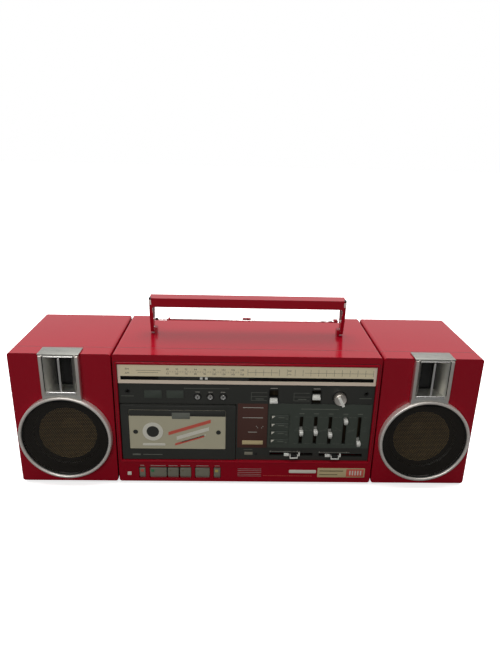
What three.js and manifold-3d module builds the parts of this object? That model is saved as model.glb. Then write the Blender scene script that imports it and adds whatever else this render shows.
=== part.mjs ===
// Portable stereo radio-cassette with two detachable box speakers.
// Millimetres. +X to the right of someone facing the front, +Y to the back, +Z up.
// While it is modelled, y = 0 is the flat front of the cabinets and z = 0 the floor.
// The finished group is shifted so that its origin is the bottom centre of the whole object.

import * as THREE from 'three';
import { mergeVertices } from 'three/addons/utils/BufferGeometryUtils.js';
import Module from 'manifold-3d';

const wasm = await Module();
wasm.setup();

// ---------------------------------------------------------------- overall sizes
const centreWidth = 318;        // cabinet between the speakers
const speakerWidth = 119.2;
const dockGap = 1.8;            // air between the centre cabinet and each speaker
const bodyHeight = 173;         // cabinets without their feet
const bodyDepth = 143;
const footHeight = 3;
const frameDepth = 22;          // front mouldings; the rear shells take the rest
const wall = 3;
const cornerRadius = 3;
const gap = 0.3;                // between faces that rest on each other
const slip = 0.4;               // around a piece that slides in a hole

const bodyBottom = footHeight;
const bodyTop = footHeight + bodyHeight;
const halfCentre = centreWidth / 2;
const speakerX = halfCentre + dockGap + speakerWidth / 2;
const shellFront = frameDepth + gap / 2;
const frameBack = frameDepth - gap / 2;

// Places on the centre cabinet are drawn for these sizes and follow the cabinet's own.
const drawnWidth = 318;
const drawnHeight = 173;
const drawnDepth = 143;
const across = (x) => x * centreWidth / drawnWidth;
const up = (z) => bodyBottom + z * bodyHeight / drawnHeight;
const deep = (y) => y * bodyDepth / drawnDepth;

// ---------------------------------------------------------------- shared fits
const fasciaInset = 4.8;        // red margin left and right of the fascia
const fasciaBottom = up(31);
const dialTop = up(161);
const dialHeight = 25.2;
const panelFace = 2;            // how far the black fascia sits behind the cabinet front
const panelBack = 5;
const halfFascia = halfCentre - fasciaInset;
const dialBottom = dialTop - dialHeight;
const panelTop = dialBottom - 0.6;
const flangeOverlap = 1.6;      // fascia flange behind the frame

// ---------------------------------------------------------------- solids
function toSolid(geometry) {
  geometry.deleteAttribute('normal');
  geometry.deleteAttribute('uv');
  const merged = mergeVertices(geometry, 1e-4);
  const mesh = new wasm.Mesh({
    numProp: 3,
    vertProperties: new Float32Array(merged.attributes.position.array),
    triVerts: new Uint32Array(merged.index.array),
  });
  return new wasm.Manifold(mesh);
}

function block([x0, x1], [y0, y1], [z0, z1]) {
  const geometry = new THREE.BoxGeometry(x1 - x0, y1 - y0, z1 - z0);
  geometry.translate((x0 + x1) / 2, (y0 + y1) / 2, (z0 + z1) / 2);
  return toSolid(geometry);
}

// A block whose four edges along Y are rounded.
function slab([x0, x1], [y0, y1], [z0, z1], radius, curveSegments = 3) {
  const w = x1 - x0;
  const h = z1 - z0;
  const r = Math.min(radius, w / 2 - 0.01, h / 2 - 0.01);
  const outline = new THREE.Shape();
  outline.moveTo(r, 0);
  outline.lineTo(w - r, 0);
  outline.absarc(w - r, r, r, -Math.PI / 2, 0, false);
  outline.absarc(w - r, h - r, r, 0, Math.PI / 2, false);
  outline.absarc(r, h - r, r, Math.PI / 2, Math.PI, false);
  outline.absarc(r, r, r, Math.PI, 1.5 * Math.PI, false);
  const depth = y1 - y0;
  const geometry = new THREE.ExtrudeGeometry(outline, { depth, bevelEnabled: false, curveSegments });
  geometry.rotateX(Math.PI / 2);
  geometry.translate(x0, y1, z0);
  return toSolid(geometry);
}

// Round bars along the three axes.
function rodY(x, z, radius, [y0, y1], segments = 16) {
  const geometry = new THREE.CylinderGeometry(radius, radius, y1 - y0, segments);
  geometry.translate(x, (y0 + y1) / 2, 0);
  geometry.translate(0, 0, z);
  return toSolid(geometry);
}

function rodX(y, z, radius, [x0, x1], segments = 12) {
  const geometry = new THREE.CylinderGeometry(radius, radius, x1 - x0, segments);
  geometry.rotateZ(Math.PI / 2);
  geometry.translate((x0 + x1) / 2, y, z);
  return toSolid(geometry);
}

function rodZ(x, y, radius, [z0, z1], segments = 12) {
  const geometry = new THREE.CylinderGeometry(radius, radius, z1 - z0, segments);
  geometry.rotateX(Math.PI / 2);
  geometry.translate(x, y, (z0 + z1) / 2);
  return toSolid(geometry);
}

// A profile of [radius, y] points turned about a Y axis through (x, z).
function turned(x, z, profile, segments = 32) {
  const points = profile.map(([r, y]) => new THREE.Vector2(r, y));
  const geometry = new THREE.LatheGeometry(points, segments);
  geometry.translate(x, 0, z);
  const solid = toSolid(geometry);
  if (solid.volume() > 0) return solid;
  const reversed = new THREE.LatheGeometry(points.reverse(), segments);
  reversed.translate(x, 0, z);
  return toSolid(reversed);
}

// A rectangular funnel along Y, from one width and height to another.
function funnel(x, z, [w0, h0], [w1, h1], [y0, y1]) {
  const geometry = new THREE.BoxGeometry(1, 1, 1);
  const p = geometry.attributes.position;
  for (let i = 0; i < p.count; i += 1) {
    const atBack = p.getY(i) > 0;
    p.setXYZ(i, x + p.getX(i) * (atBack ? w1 : w0), atBack ? y1 : y0, z + p.getZ(i) * (atBack ? h1 : h0));
  }
  return toSolid(geometry);
}

const joined = (first, ...rest) => rest.reduce((sum, solid) => sum.add(solid), first);
const cut = (first, ...rest) => rest.reduce((sum, solid) => sum.subtract(solid), first);

// ---------------------------------------------------------------- finishes
const finish = (color, roughness, metalness = 0) => () =>
  new THREE.MeshStandardMaterial({ color, roughness, metalness });
const redPaint = finish(0xa01424, 0.3);
const blackPlastic = finish(0x232421, 0.5);
const darkPlate = finish(0x2e3430, 0.45);
const creamPlate = finish(0xaaa587, 0.4);
const silver = finish(0xb4afa5, 0.25, 1);
const greyKey = finish(0x7d7d70, 0.4);
const steel = finish(0x9a9c9e, 0.35, 1);
const brass = finish(0xb08d4a, 0.3, 1);
const smokedClear = finish(0x5a5c58, 0.15);
const meshBlack = finish(0x141414, 0.6, 0.3);
const paperCone = finish(0x4a3a2c, 0.9);
const boardGreen = finish(0x2f5a3a, 0.7);
const whiteKnob = finish(0xc8c6bc, 0.35);

const model = new THREE.Group();

function addPiece(name, solid, makeMaterial) {
  const source = solid.getMesh();
  const geometry = new THREE.BufferGeometry();
  geometry.setAttribute('position', new THREE.BufferAttribute(new Float32Array(source.vertProperties), 3));
  geometry.setIndex(new THREE.BufferAttribute(new Uint32Array(source.triVerts), 1));
  const mesh = new THREE.Mesh(geometry, makeMaterial());
  mesh.name = name;
  model.add(mesh);
}

// ---------------------------------------------------------------- transport keys
const keyBottom = up(4.5);
const keyTop = up(18.7);
const keyStem = 3;
const keyStemBack = 40;
const keyFront = 0.6;
const keyCapBack = 12;
const keyBevel = 1;             // the lower front edge of a cap is stepped back by this
const keyRimHeight = 2.3;       // dark pocket left open above the caps
const transportKeys = [
  { name: 'record_key', x: [-133.7, -126.2].map(across) },
  { name: 'play_key', x: [-120.6, -99.5].map(across) },
  { name: 'rewind_key', x: [-98.2, -84.5].map(across) },
  { name: 'forward_key', x: [-82.8, -68.7].map(across) },
  { name: 'stop_key', x: [-63.5, -45.3].map(across) },
  { name: 'pause_key', x: [-40.1, -31.8].map(across) },
];
const keyPockets = [
  [transportKeys[0].x[0], transportKeys[0].x[1]],
  [transportKeys[1].x[0], transportKeys[3].x[1]],
  [transportKeys[4].x[0], transportKeys[4].x[1]],
  [transportKeys[5].x[0], transportKeys[5].x[1]],
];
const keyStemZ = (keyBottom + keyTop) / 2;
const keyCentre = (key) => (key.x[0] + key.x[1]) / 2;

function buildTransportKeys() {
  for (const key of transportKeys) {
    const x = keyCentre(key);
    const cap = block(key.x, [keyFront, keyCapBack], [keyBottom, keyTop]);
    const bevel = block([key.x[0] - 1, key.x[1] + 1], [-keyBevel, keyFront + keyBevel],
      [keyBottom - 1, keyBottom + 3 * keyBevel]);
    const stem = block([x - keyStem / 2, x + keyStem / 2], [keyCapBack - 1, keyStemBack],
      [keyStemZ - keyStem / 2, keyStemZ + keyStem / 2]);
    addPiece(key.name, joined(cut(cap, bevel), stem), greyKey);
  }
}

// ---------------------------------------------------------------- centre cabinet
const footInset = 10;
const footLength = 12;
const footFront = 5;            // front feet start here; the rear ones are as far in, plus a little
const footRear = 8;
const feetX = [halfCentre - footInset - footLength, halfCentre - footInset];
const bossRadius = 4;
const bossX = halfCentre - 12;
const bossLow = bodyBottom + 12;

const frontFeetY = [footFront, footFront + footLength];
const rearFeetY = [bodyDepth - footRear - footLength, bodyDepth - footRear];

function feet(xs, [y0, y1]) {
  return xs.map(([x0, x1]) => block([x0, x1], [y0, y1], [0, bodyBottom + 0.5]));
}

// The same span on the left or right of the middle, in rising order.
const onSide = (side, span) => span.map((x) => side * x).sort((a, b) => a - b);

const lipWidth = 2;             // raised edge around the fascia opening

function buildFrontFrame() {
  const halfOpening = halfFascia;
  const outside = slab([-halfCentre, halfCentre], [0, frameBack], [bodyBottom, bodyTop], cornerRadius);
  const hollow = block([-halfCentre + wall, halfCentre - wall], [wall, frameDepth + 1],
    [bodyBottom + wall, bodyTop - wall]);
  const lip = slab([-halfOpening - lipWidth, halfOpening + lipWidth], [-1.5, 1],
    [fasciaBottom - lipWidth, dialTop + lipWidth], 1);
  const opening = block([-halfOpening, halfOpening], [-3, wall + 1], [fasciaBottom, dialTop]);
  const pockets = keyPockets.map(([x0, x1]) => block([x0 - slip, x1 + slip], [-1, wall + 1],
    [keyBottom - slip, keyTop + keyRimHeight]));
  const bosses = [-1, 1].map((side) => rodY(side * bossX, bossLow, bossRadius, [wall - 1, frameBack], 10));
  const rests = feet([onSide(-1, feetX), feetX], frontFeetY);
  const solid = cut(joined(cut(outside, hollow), lip, ...bosses, ...rests), opening, ...pockets);
  addPiece('main_front_frame', solid, redPaint);
}

// Antenna lies in a step let into the back top edge.
const stepDepth = 18;
const stepDrop = 7;
const stepHalfWidth = across(131);
const antennaY = bodyDepth - 5;
const antennaZ = bodyTop - 3.1;
const antennaPivotX = across(125.3);
const mastTip = across(109.5);  // the thick section ends this far to the left
const mastRadius = 2.5;
const mastBore = 2;
const middleRadius = 1.75;
const middleBore = 1.25;
const tipRadius = 0.95;
const tipBall = 2.4;
const tipReach = 15.8;          // from the end of the mast to the middle of the ball
const swivelRadius = 3;
const rootRadius = 1.5;         // the mast's root between the fork's cheeks

// Battery bay in the back, for a row of large round cells.
const bayHalfWidth = across(102);
const bayBottom = up(8);
const bayTop = up(66);
const bayFront = deep(98);
const bayLedge = 3;
const coverThickness = 2.6;

// Docking pegs carry each speaker.
const pegLength = 6;
const pegY = [60, 84].map(deep);
const pegHeights = [[34, 48].map(up), [118, 132].map(up)];

// Handle.
const handleHalfWidth = across(124);
const handleThickness = 4.5;
const handleDepth = 18.5;
const handleY = deep(76.8);
const handleTop = bodyTop + 48.5;
const barHeight = 11.6;
const lugHeight = 8;
const lugWidth = 3.6;
const lugDepth = 9;
const pivotHeight = bodyTop + 5;
const pinRadius = 1.8;
const eyeRadius = 4;            // rounded foot of a leg, around the pin
const handleInner = handleHalfWidth - handleThickness;
const legTaper = 24;            // the legs narrow towards the pin so that they fold clear of the top

// Mains inlet.
const inletX = across(-132);
const inletZ = up(20);
const inletHalf = [8, 4.5];     // half width and half height of its hole
const inletDeep = 13;
const jackRadius = 1.9;
const jackX = across(118);
const jackHeights = [82, 96].map(up);

function buildRearShell() {
  const outside = slab([-halfCentre, halfCentre], [shellFront, bodyDepth], [bodyBottom, bodyTop],
    cornerRadius);
  const hollow = block([-halfCentre + wall, halfCentre - wall], [frameDepth - 1, bodyDepth - wall],
    [bodyBottom + wall, bodyTop - wall]);
  const stepFloor = block([-stepHalfWidth - wall, stepHalfWidth + wall],
    [bodyDepth - stepDepth - wall, bodyDepth - 1], [bodyTop - stepDrop - wall, bodyTop - 1]);
  const step = block([-stepHalfWidth, stepHalfWidth], [bodyDepth - stepDepth, bodyDepth + 1],
    [bodyTop - stepDrop, bodyTop + 1]);
  const bayWalls = block([-bayHalfWidth - 2, bayHalfWidth + 2], [bayFront - 2, bodyDepth - 1],
    [bayBottom - 2, bayTop + 2]);
  const bay = block([-bayHalfWidth + bayLedge, bayHalfWidth - bayLedge], [bayFront, bodyDepth + 1],
    [bayBottom + bayLedge, bayTop - bayLedge]);
  const bayRim = block([-bayHalfWidth, bayHalfWidth], [bodyDepth - coverThickness - 2 * gap, bodyDepth + 1],
    [bayBottom, bayTop]);
  const pegs = [];
  const lugs = [];
  for (const side of [-1, 1]) {
    for (const heights of pegHeights) {
      pegs.push(block(onSide(side, [halfCentre - 1, halfCentre + pegLength]), pegY, heights));
    }
    const inside = handleInner - gap;
    lugs.push(block(onSide(side, [inside - lugWidth, inside]),
      [handleY - lugDepth / 2, handleY + lugDepth / 2], [bodyTop - 1, bodyTop + lugHeight]));
    lugs.push(rodX(handleY, pivotHeight, pinRadius, onSide(side, [inside - 1, handleHalfWidth])));
  }
  const bossSpan = [shellFront, bodyDepth - 1];
  const bosses = [-1, 1].map((side) => rodY(side * bossX, bossLow, bossRadius, bossSpan, 10));
  const rests = feet([onSide(-1, feetX), feetX], rearFeetY);
  const [halfInlet, halfInletHeight] = inletHalf;
  const inletBlock = block([inletX - halfInlet - wall, inletX + halfInlet + wall],
    [bodyDepth - inletDeep - wall, bodyDepth - 1],
    [inletZ - halfInletHeight - wall, inletZ + halfInletHeight + wall]);
  const inlet = slab([inletX - halfInlet, inletX + halfInlet], [bodyDepth - inletDeep, bodyDepth + 1],
    [inletZ - halfInletHeight, inletZ + halfInletHeight], 3);
  const swivelSocket = rodZ(antennaPivotX, antennaY, swivelRadius + slip,
    [bodyTop - stepDrop - wall - 1, bodyTop]);
  const jacks = [-1, 1].flatMap((side) => jackHeights.map((z) =>
    rodY(side * jackX, z, jackRadius, [bodyDepth - wall - 1, bodyDepth + 1], 12)));
  const shell = joined(cut(outside, hollow), stepFloor, bayWalls, inletBlock, ...bosses, ...rests,
    ...pegs);
  const opened = cut(shell, step, bay, bayRim, inlet, swivelSocket, ...jacks);
  addPiece('main_rear_shell', joined(opened, ...lugs), redPaint);

  const cover = block([-bayHalfWidth + gap, bayHalfWidth - gap],
    [bodyDepth - coverThickness - gap, bodyDepth - gap], [bayBottom + gap, bayTop - gap]);
  const grip = block([-12, 12], [bodyDepth - coverThickness / 2 - gap, bodyDepth + 1],
    [bayTop - 9, bayTop - 5]);
  addPiece('battery_cover', cut(cover, grip), redPaint);
}

// ---------------------------------------------------------------- dial
const slotHalfWidth = across(151.7);
const slotBottom = dialBottom + 4.7;
const slotTop = slotBottom + 4.5;
const pointerX = [-106, 1.5].map(across);
const pointerFront = 1.8;
const flangeThickness = 1.2;

function buildDial() {
  const dialFace = 1;
  const back = wall + gap + flangeThickness;
  const front = block([-halfFascia + gap, halfFascia - gap], [dialFace, wall + 0.5],
    [dialBottom, dialTop - gap]);
  const flange = block([-halfFascia - flangeOverlap, halfFascia + flangeOverlap],
    [wall + gap, back], [dialBottom, dialTop + flangeOverlap]);
  const slot = block([-slotHalfWidth, slotHalfWidth], [0, wall + 3], [slotBottom, slotTop]);
  addPiece('dial_panel', cut(joined(front, flange), slot), creamPlate);

  const bar = block(pointerX, [pointerFront, back + 1], [slotBottom + slip, slotTop - slip]);
  const carriage = block([pointerX[0] + across(40), pointerX[1] - across(40)], [back + gap, back + 2],
    [slotBottom - 1.2, slotTop + 3]);
  addPiece('dial_pointer', joined(bar, carriage), whiteKnob);
}

// ---------------------------------------------------------------- black fascia
const doorX = [-153, -13.5].map(across);
const doorZ = [fasciaBottom + 1, up(108.3)];
const buttonRadius = 3.3;
const buttonZ = up(118.8);
const modeButtons = [
  { name: 'mode_button_1', x: across(-59.8) },
  { name: 'mode_button_2', x: across(-44.6) },
  { name: 'mode_button_3', x: across(-29.1) },
];
const leverSwitches = [
  { name: 'function_switch', x: across(32), slot: [111.3, 128.6].map(up), rest: up(114.7) },
  { name: 'mode_switch', x: across(83.6), slot: [111.3, 128.6].map(up), rest: up(120) },
];
const leverWidth = 9.8;
const leverKnob = 6;
const levelSliders = [
  { name: 'volume_slider', slot: [29.7, 83.9].map(across), z: up(39.7), rest: across(57.5) },
  { name: 'balance_slider', slot: [91.7, 146.5].map(across), z: up(38.9), rest: across(109.2) },
];
const levelSlotHeight = 4;
const levelKnobWidth = 20;
const bandX = [29.6, 52].map(across);
const bandHeight = 6.8;
const bandCentres = [92, 81, 70, 58.7].map(up);
const equalizerSliders = [67.2, 84.9, 103, 121.1, 139.1].map(across);
const equalizerRest = [72.7, 73.6, 70.2, 89, 58.3].map(up);
const equalizerSlot = [55.3, 93.4].map(up);
const equalizerSlotWidth = 4.3;
const equalizerKnobHeight = 6;
const plateMargin = 1.2;         // from the fascia's right end
const plateX = [across(26.2), halfFascia - plateMargin];
const plateZ = [49.5, 110.6].map(up);
const tuningX = across(111.7);
const tuningZ = up(119.6);
const tuningRadius = 7.4;
const shaftRadius = 2.8;
const carriageFront = panelBack + gap;
const carriageBack = carriageFront + 3;
const frontJacks = [[-143.3, 125], [144.1, 124.8]].map(([x, z]) => [across(x), up(z)]);
const lampHole = { x: across(16.1), z: up(80.6), radius: 1.2 };

function equalizerSlots(depth) {
  const half = equalizerSlotWidth / 2;
  return equalizerSliders.map((x) => block([x - half, x + half], depth, equalizerSlot));
}

function bandHoles(depth) {
  return bandCentres.map((z) => block([bandX[0] - slip, bandX[1] + slip], depth,
    [z - bandHeight / 2 - slip, z + bandHeight / 2 + slip]));
}

function buildFascia() {
  const front = block([-halfFascia + gap, halfFascia - gap], [panelFace, wall + 0.5],
    [fasciaBottom + gap, panelTop]);
  const flange = block([-halfFascia - flangeOverlap, halfFascia + flangeOverlap],
    [wall + gap, panelBack], [fasciaBottom - flangeOverlap, panelTop]);
  const through = [panelFace - 1, panelBack + 1];
  const doorway = block([-halfFascia - 3, doorX[1] + 2 * gap], through,
    [fasciaBottom - 3, doorZ[1] + 2 * gap]);
  const plateSeat = block([plateX[0] - gap, plateX[1] + gap], [panelFace - 1, panelFace + 1],
    [plateZ[0] - gap, plateZ[1] + gap]);
  const cuts = [
    doorway,
    plateSeat,
    ...equalizerSlots(through),
    ...bandHoles(through),
    ...modeButtons.map(({ x }) => rodY(x, buttonZ, buttonRadius + slip, through, 14)),
    ...leverSwitches.map(({ x, slot }) =>
      block([x - leverWidth / 2 - slip, x + leverWidth / 2 + slip], through, slot)),
    ...levelSliders.map(({ slot, z }) =>
      block(slot, through, [z - levelSlotHeight / 2, z + levelSlotHeight / 2])),
    rodY(tuningX, tuningZ, tuningRadius + 1.6, [panelFace - 1, panelFace + 1.4], 24),
    rodY(tuningX, tuningZ, shaftRadius + slip, through, 14),
    ...frontJacks.map(([x, z]) => rodY(x, z, jackRadius, through, 12)),
    rodY(lampHole.x, lampHole.z, lampHole.radius, through, 8),
  ];
  addPiece('control_panel', cut(joined(front, flange), ...cuts), blackPlastic);

  const plateFront = panelFace - 0.8;
  const plate = slab(plateX, [plateFront, panelFace + 1 - gap], plateZ, 1, 1);
  addPiece('equalizer_plate', cut(plate, ...equalizerSlots([0, 4]), ...bandHoles([0, 4])), darkPlate);
}

function buildControls() {
  for (const { name, x } of modeButtons) {
    const cap = rodY(x, buttonZ, buttonRadius, [panelFace - 2.4, panelBack + 3], 14);
    const collar = rodY(x, buttonZ, buttonRadius + 1.2, [panelBack + gap, panelBack + 2], 14);
    addPiece(name, joined(cap, collar), silver);
  }
  bandCentres.forEach((z, i) => {
    const cap = block(bandX, [panelFace - 1.6, panelBack + 4], [z - bandHeight / 2, z + bandHeight / 2]);
    addPiece(`band_button_${i + 1}`, cap, blackPlastic);
  });
  for (const { name, x, rest: z } of leverSwitches) {
    const knob = block([x - leverWidth / 2, x + leverWidth / 2], [panelFace - 3.5, panelBack + 1],
      [z - leverKnob / 2, z + leverKnob / 2]);
    const carriage = block([x - leverWidth / 2 - 2, x + leverWidth / 2 + 2],
      [carriageFront, carriageBack], [z - leverKnob / 2 - 1, z + leverKnob / 2 + 1]);
    addPiece(name, joined(knob, carriage), whiteKnob);
  }
  equalizerSliders.forEach((x, i) => {
    const z = equalizerRest[i];
    const halfStem = equalizerSlotWidth / 2 - slip;
    const halfKnob = equalizerKnobHeight / 2;
    const knob = block([x - 2.4, x + 2.4], [panelFace - 8, panelFace - 1.1], [z - halfKnob, z + halfKnob]);
    const stem = block([x - halfStem, x + halfStem], [panelFace - 2, carriageFront + 1],
      [z - 1.5, z + 1.5]);
    const carriage = block([x - 4, x + 4], [carriageFront, carriageBack], [z - 3.5, z + 3.5]);
    addPiece(`equalizer_slider_${i + 1}`, joined(knob, stem, carriage), whiteKnob);
  });
  for (const { name, z, rest } of levelSliders) {
    const knob = block([rest - levelKnobWidth / 2, rest + levelKnobWidth / 2],
      [panelFace - 5, panelFace - gap], [z - 3.4, z + 3.4]);
    const stem = block([rest - 2, rest + 2], [panelFace - 1, carriageFront + 1],
      [z - levelSlotHeight / 2 + slip, z + levelSlotHeight / 2 - slip]);
    const carriage = block([rest - 5, rest + 5], [carriageFront, carriageBack], [z - 3.5, z + 3.5]);
    addPiece(name, joined(knob, stem, carriage), greyKey);
  }
  const knobFront = panelFace - 7.5;
  const knob = rodY(tuningX, tuningZ, tuningRadius, [knobFront, panelFace + 0.6], 24);
  const shaft = rodY(tuningX, tuningZ, shaftRadius, [panelFace, panelBack + 8], 14);
  const gripGeometry = new THREE.BoxGeometry(3.6, 2, 14);
  gripGeometry.translate(0, 0, -3);
  gripGeometry.rotateY(THREE.MathUtils.degToRad(-28));
  gripGeometry.translate(tuningX, knobFront - 0.5, tuningZ);
  addPiece('tuning_knob', joined(knob, shaft, toSolid(gripGeometry)), silver);
}

// ---------------------------------------------------------------- cassette deck
const cassette = { width: 100.4, thickness: 12 };
const cassetteX = (doorX[0] + doorX[1]) / 2 - 1.5;
const cassetteBottom = up(36.5);
const railTop = up(94.5);
const railWidth = 2;
const railLip = 5;              // how far the rail's back edge reaches over the cassette
const doorFace = 0.4;
const doorBack = 3.2;
const windowX = [-143.9, -25.5].map(across);
const windowZ = [46.5, 101].map(up);
const holderBack = doorBack + cassette.thickness + 2.6;
const chassisFront = 24;
const chassisThickness = 1.2;
const chassisBack = chassisFront + chassisThickness;
const reelSpacing = 42.5;
const reelZ = up(71.1);
const spoolRadius = 10.5;
const hubRadius = 3.6;
const axleRadius = 1.8;
const capstanX = cassetteX + 28;
const capstanZ = up(46);
const capstanRadius = 1.2;
const wheelRadius = 20;
const wheelBand = [28, 33];
const motorX = cassetteX - 37;
const motorZ = up(57);
const motorRadius = 16;
const motorY = [36, 60];
const pulleyRadius = 4.2;
const pulleyFront = 27;
const shelfZ = up(23);
const shelfDepth = 10;
const sheet = 1.2;              // the shelf and the comb that guides the key stems
const headTop = up(33.5);
const headBottom = up(25);
const headY = [9, 22];

function buildDoor() {
  const panel = slab(doorX, [doorFace, doorBack], doorZ, 1.5, 2);
  const opening = block(windowX, [0, doorBack + 1], windowZ);
  const railFront = doorBack - 0.1;
  const pieces = [];
  for (const side of [-1, 1]) {
    const inner = cassetteX + side * (cassette.width / 2 + 0.8);
    const outer = inner + side * railWidth;
    const lip = inner - side * railLip;
    const rail = [inner, outer].sort((a, b) => a - b);
    const wrapped = [lip, outer].sort((a, b) => a - b);
    const railBottom = cassetteBottom - 2.5;
    pieces.push(block(rail, [railFront, holderBack], [railBottom, railTop]));
    pieces.push(block(wrapped, [holderBack - 1.5, holderBack], [railBottom, railTop]));
    pieces.push(block(wrapped, [railFront, holderBack], [railBottom, cassetteBottom - 0.8]));
  }
  addPiece('cassette_door', joined(cut(panel, opening), ...pieces), blackPlastic);

  const pane = slab([windowX[0] + gap, windowX[1] - gap], [doorFace + 0.4, doorBack - 0.4],
    [windowZ[0] + gap, windowZ[1] - gap], 1, 1);
  addPiece('door_window', pane, smokedClear);
}

function buildDeck() {
  const combBack = chassisFront + shelfDepth;
  const ends = [doorX[0] + 1, doorX[1] - 1];
  const plate = block(ends, [chassisFront, chassisBack], [shelfZ, panelTop - 2]);
  const shelf = block(ends, [chassisFront, combBack], [shelfZ, shelfZ + sheet]);
  const comb = block([transportKeys[0].x[0] - 4, transportKeys[5].x[1] + 4], [combBack - sheet, combBack],
    [up(6), shelfZ + 1]);
  const halfHole = keyStem / 2 + slip;
  const stemHoles = transportKeys.map((key) => block([keyCentre(key) - halfHole, keyCentre(key) + halfHole],
    [combBack - 5, combBack + 2], [keyStemZ - halfHole, keyStemZ + halfHole]));
  const posts = [90, 210, 330].map((degrees) => {
    const angle = THREE.MathUtils.degToRad(degrees);
    const reach = motorRadius * 0.75;
    return rodY(motorX + reach * Math.cos(angle), motorZ + reach * Math.sin(angle), 2,
      [chassisFront + 0.5, motorY[0] - gap], 8);
  });
  const through = [chassisFront - 1, chassisBack + 1];
  const reels = [-1, 1].map((side) =>
    rodY(cassetteX + side * reelSpacing / 2, reelZ, axleRadius + 0.6, through, 10));
  const capstanHole = rodY(capstanX, capstanZ, capstanRadius + 0.6, through, 10);
  const chassis = cut(joined(plate, shelf, comb, ...posts), ...stemHoles, ...reels, capstanHole);
  addPiece('deck_chassis', chassis, steel);

  const names = ['supply_spindle', 'takeup_spindle'];
  names.forEach((name, i) => {
    const x = cassetteX + (i - 0.5) * reelSpacing;
    const spool = turned(x, reelZ, [[0, 6.5], [2.2, 7.2], [hubRadius, 10], [hubRadius, 17],
      [spoolRadius, 17.5], [spoolRadius, 22], [axleRadius, 22], [axleRadius, 27], [0, 27]], 16);
    const fins = [0, 60, 120].map((degrees) => {
      const geometry = new THREE.BoxGeometry(9.6, 6, 1.1);
      geometry.rotateY(THREE.MathUtils.degToRad(degrees));
      geometry.translate(x, 13.5, reelZ);
      return toSolid(geometry);
    });
    addPiece(name, joined(spool, ...fins), blackPlastic);
  });

  const [wheelFront, wheelBack] = wheelBand;
  const flywheel = turned(capstanX, capstanZ, [[0, 8], [capstanRadius, 8.5], [capstanRadius, wheelFront],
    [wheelRadius, wheelFront], [wheelRadius, wheelBack], [1.5, wheelBack], [1.5, wheelBack + 4],
    [0, wheelBack + 4]], 28);
  addPiece('flywheel', flywheel, brass);

  const headPlate = block([cassetteX - 34, cassetteX + 18], [headY[1] - 0.5, chassisFront - gap],
    [headBottom - 0.5, headTop - 2.5]);
  const head = block([cassetteX - 7, cassetteX + 7], headY, [headBottom, headTop]);
  const eraseHead = block([cassetteX - 30, cassetteX - 22], headY, [headBottom, headTop]);
  addPiece('head_plate', joined(headPlate, head, eraseHead), steel);

  addPiece('deck_motor', rodY(motorX, motorZ, motorRadius, motorY, 24), steel);
  const [r, y] = [pulleyRadius, pulleyFront];
  const pulley = [[0, y], [r, y], [r, y + 2], [r - 0.8, y + 3.5], [r, y + 5], [r, y + 6.5], [1, y + 6.5],
    [1, y + 8.6], [0, y + 8.6]];
  addPiece('motor_pulley', turned(motorX, motorZ, pulley, 16), brass);
}

// ---------------------------------------------------------------- electronics
function buildElectronics() {
  const boardFront = 16;
  const boardThickness = 1.6;
  const board = block([across(-6), halfFascia - 6], [boardFront, boardFront + boardThickness],
    [up(33), panelTop - 3]);
  const parts = [
    { x: [10, 24], tall: 12, z: [70, 84] },
    { x: [34, 60], tall: 9, z: [96, 104] },
    { x: [70, 84], tall: 14, z: [60, 74] },
    { x: [92, 132], tall: 11, z: [84, 92] },
    { x: [100, 112], tall: 18, z: [48, 60] },
    { x: [120, 132], tall: 18, z: [48, 60] },
  ].map(({ x, tall, z }) =>
    block(x.map(across), [boardFront + boardThickness - 0.1, boardFront + tall], z.map(up)));
  addPiece('circuit_board', joined(board, ...parts), boardGreen);

  const floor = bodyBottom + wall + gap;
  const middleX = across(85);
  const middleY = bayFront - 24;
  const centred = (middle, size) => [middle - size / 2, middle + size / 2];
  const core = block(centred(middleX, 46), centred(middleY, 32), [floor, floor + 38]);
  const winding = block(centred(middleX, 34), centred(middleY, 40), [floor + 8, floor + 30]);
  const base = block(centred(middleX, 62), centred(middleY, 24), [floor, floor + 2]);
  addPiece('power_transformer', joined(core, winding, base), steel);
}

// ---------------------------------------------------------------- handle and antenna
function buildHandle() {
  const bar = block([-handleHalfWidth, handleHalfWidth], [handleY - handleDepth / 2, handleY + handleDepth / 2],
    [handleTop - barHeight, handleTop]);
  const legs = [];
  const holes = [];
  for (const side of [-1, 1]) {
    const outline = new THREE.Shape();
    const half = handleDepth / 2;
    const legTop = handleTop - pivotHeight - 1;
    outline.moveTo(-half, legTop);
    outline.lineTo(-half, legTaper);
    outline.lineTo(-eyeRadius, 0);
    outline.absarc(0, 0, eyeRadius, Math.PI, 2 * Math.PI, false);
    outline.lineTo(half, legTaper);
    outline.lineTo(half, legTop);
    const geometry = new THREE.ExtrudeGeometry(outline,
      { depth: handleThickness, bevelEnabled: false, curveSegments: 6 });
    geometry.rotateX(Math.PI / 2);
    geometry.rotateZ(Math.PI / 2);
    geometry.translate(side > 0 ? handleInner : -handleHalfWidth, handleY, pivotHeight);
    legs.push(toSolid(geometry));
    holes.push(rodX(handleY, pivotHeight, pinRadius + slip,
      onSide(side, [handleInner - 2, handleHalfWidth + 2])));
  }
  addPiece('handle', cut(joined(bar, ...legs), ...holes), redPaint);
}

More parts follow.
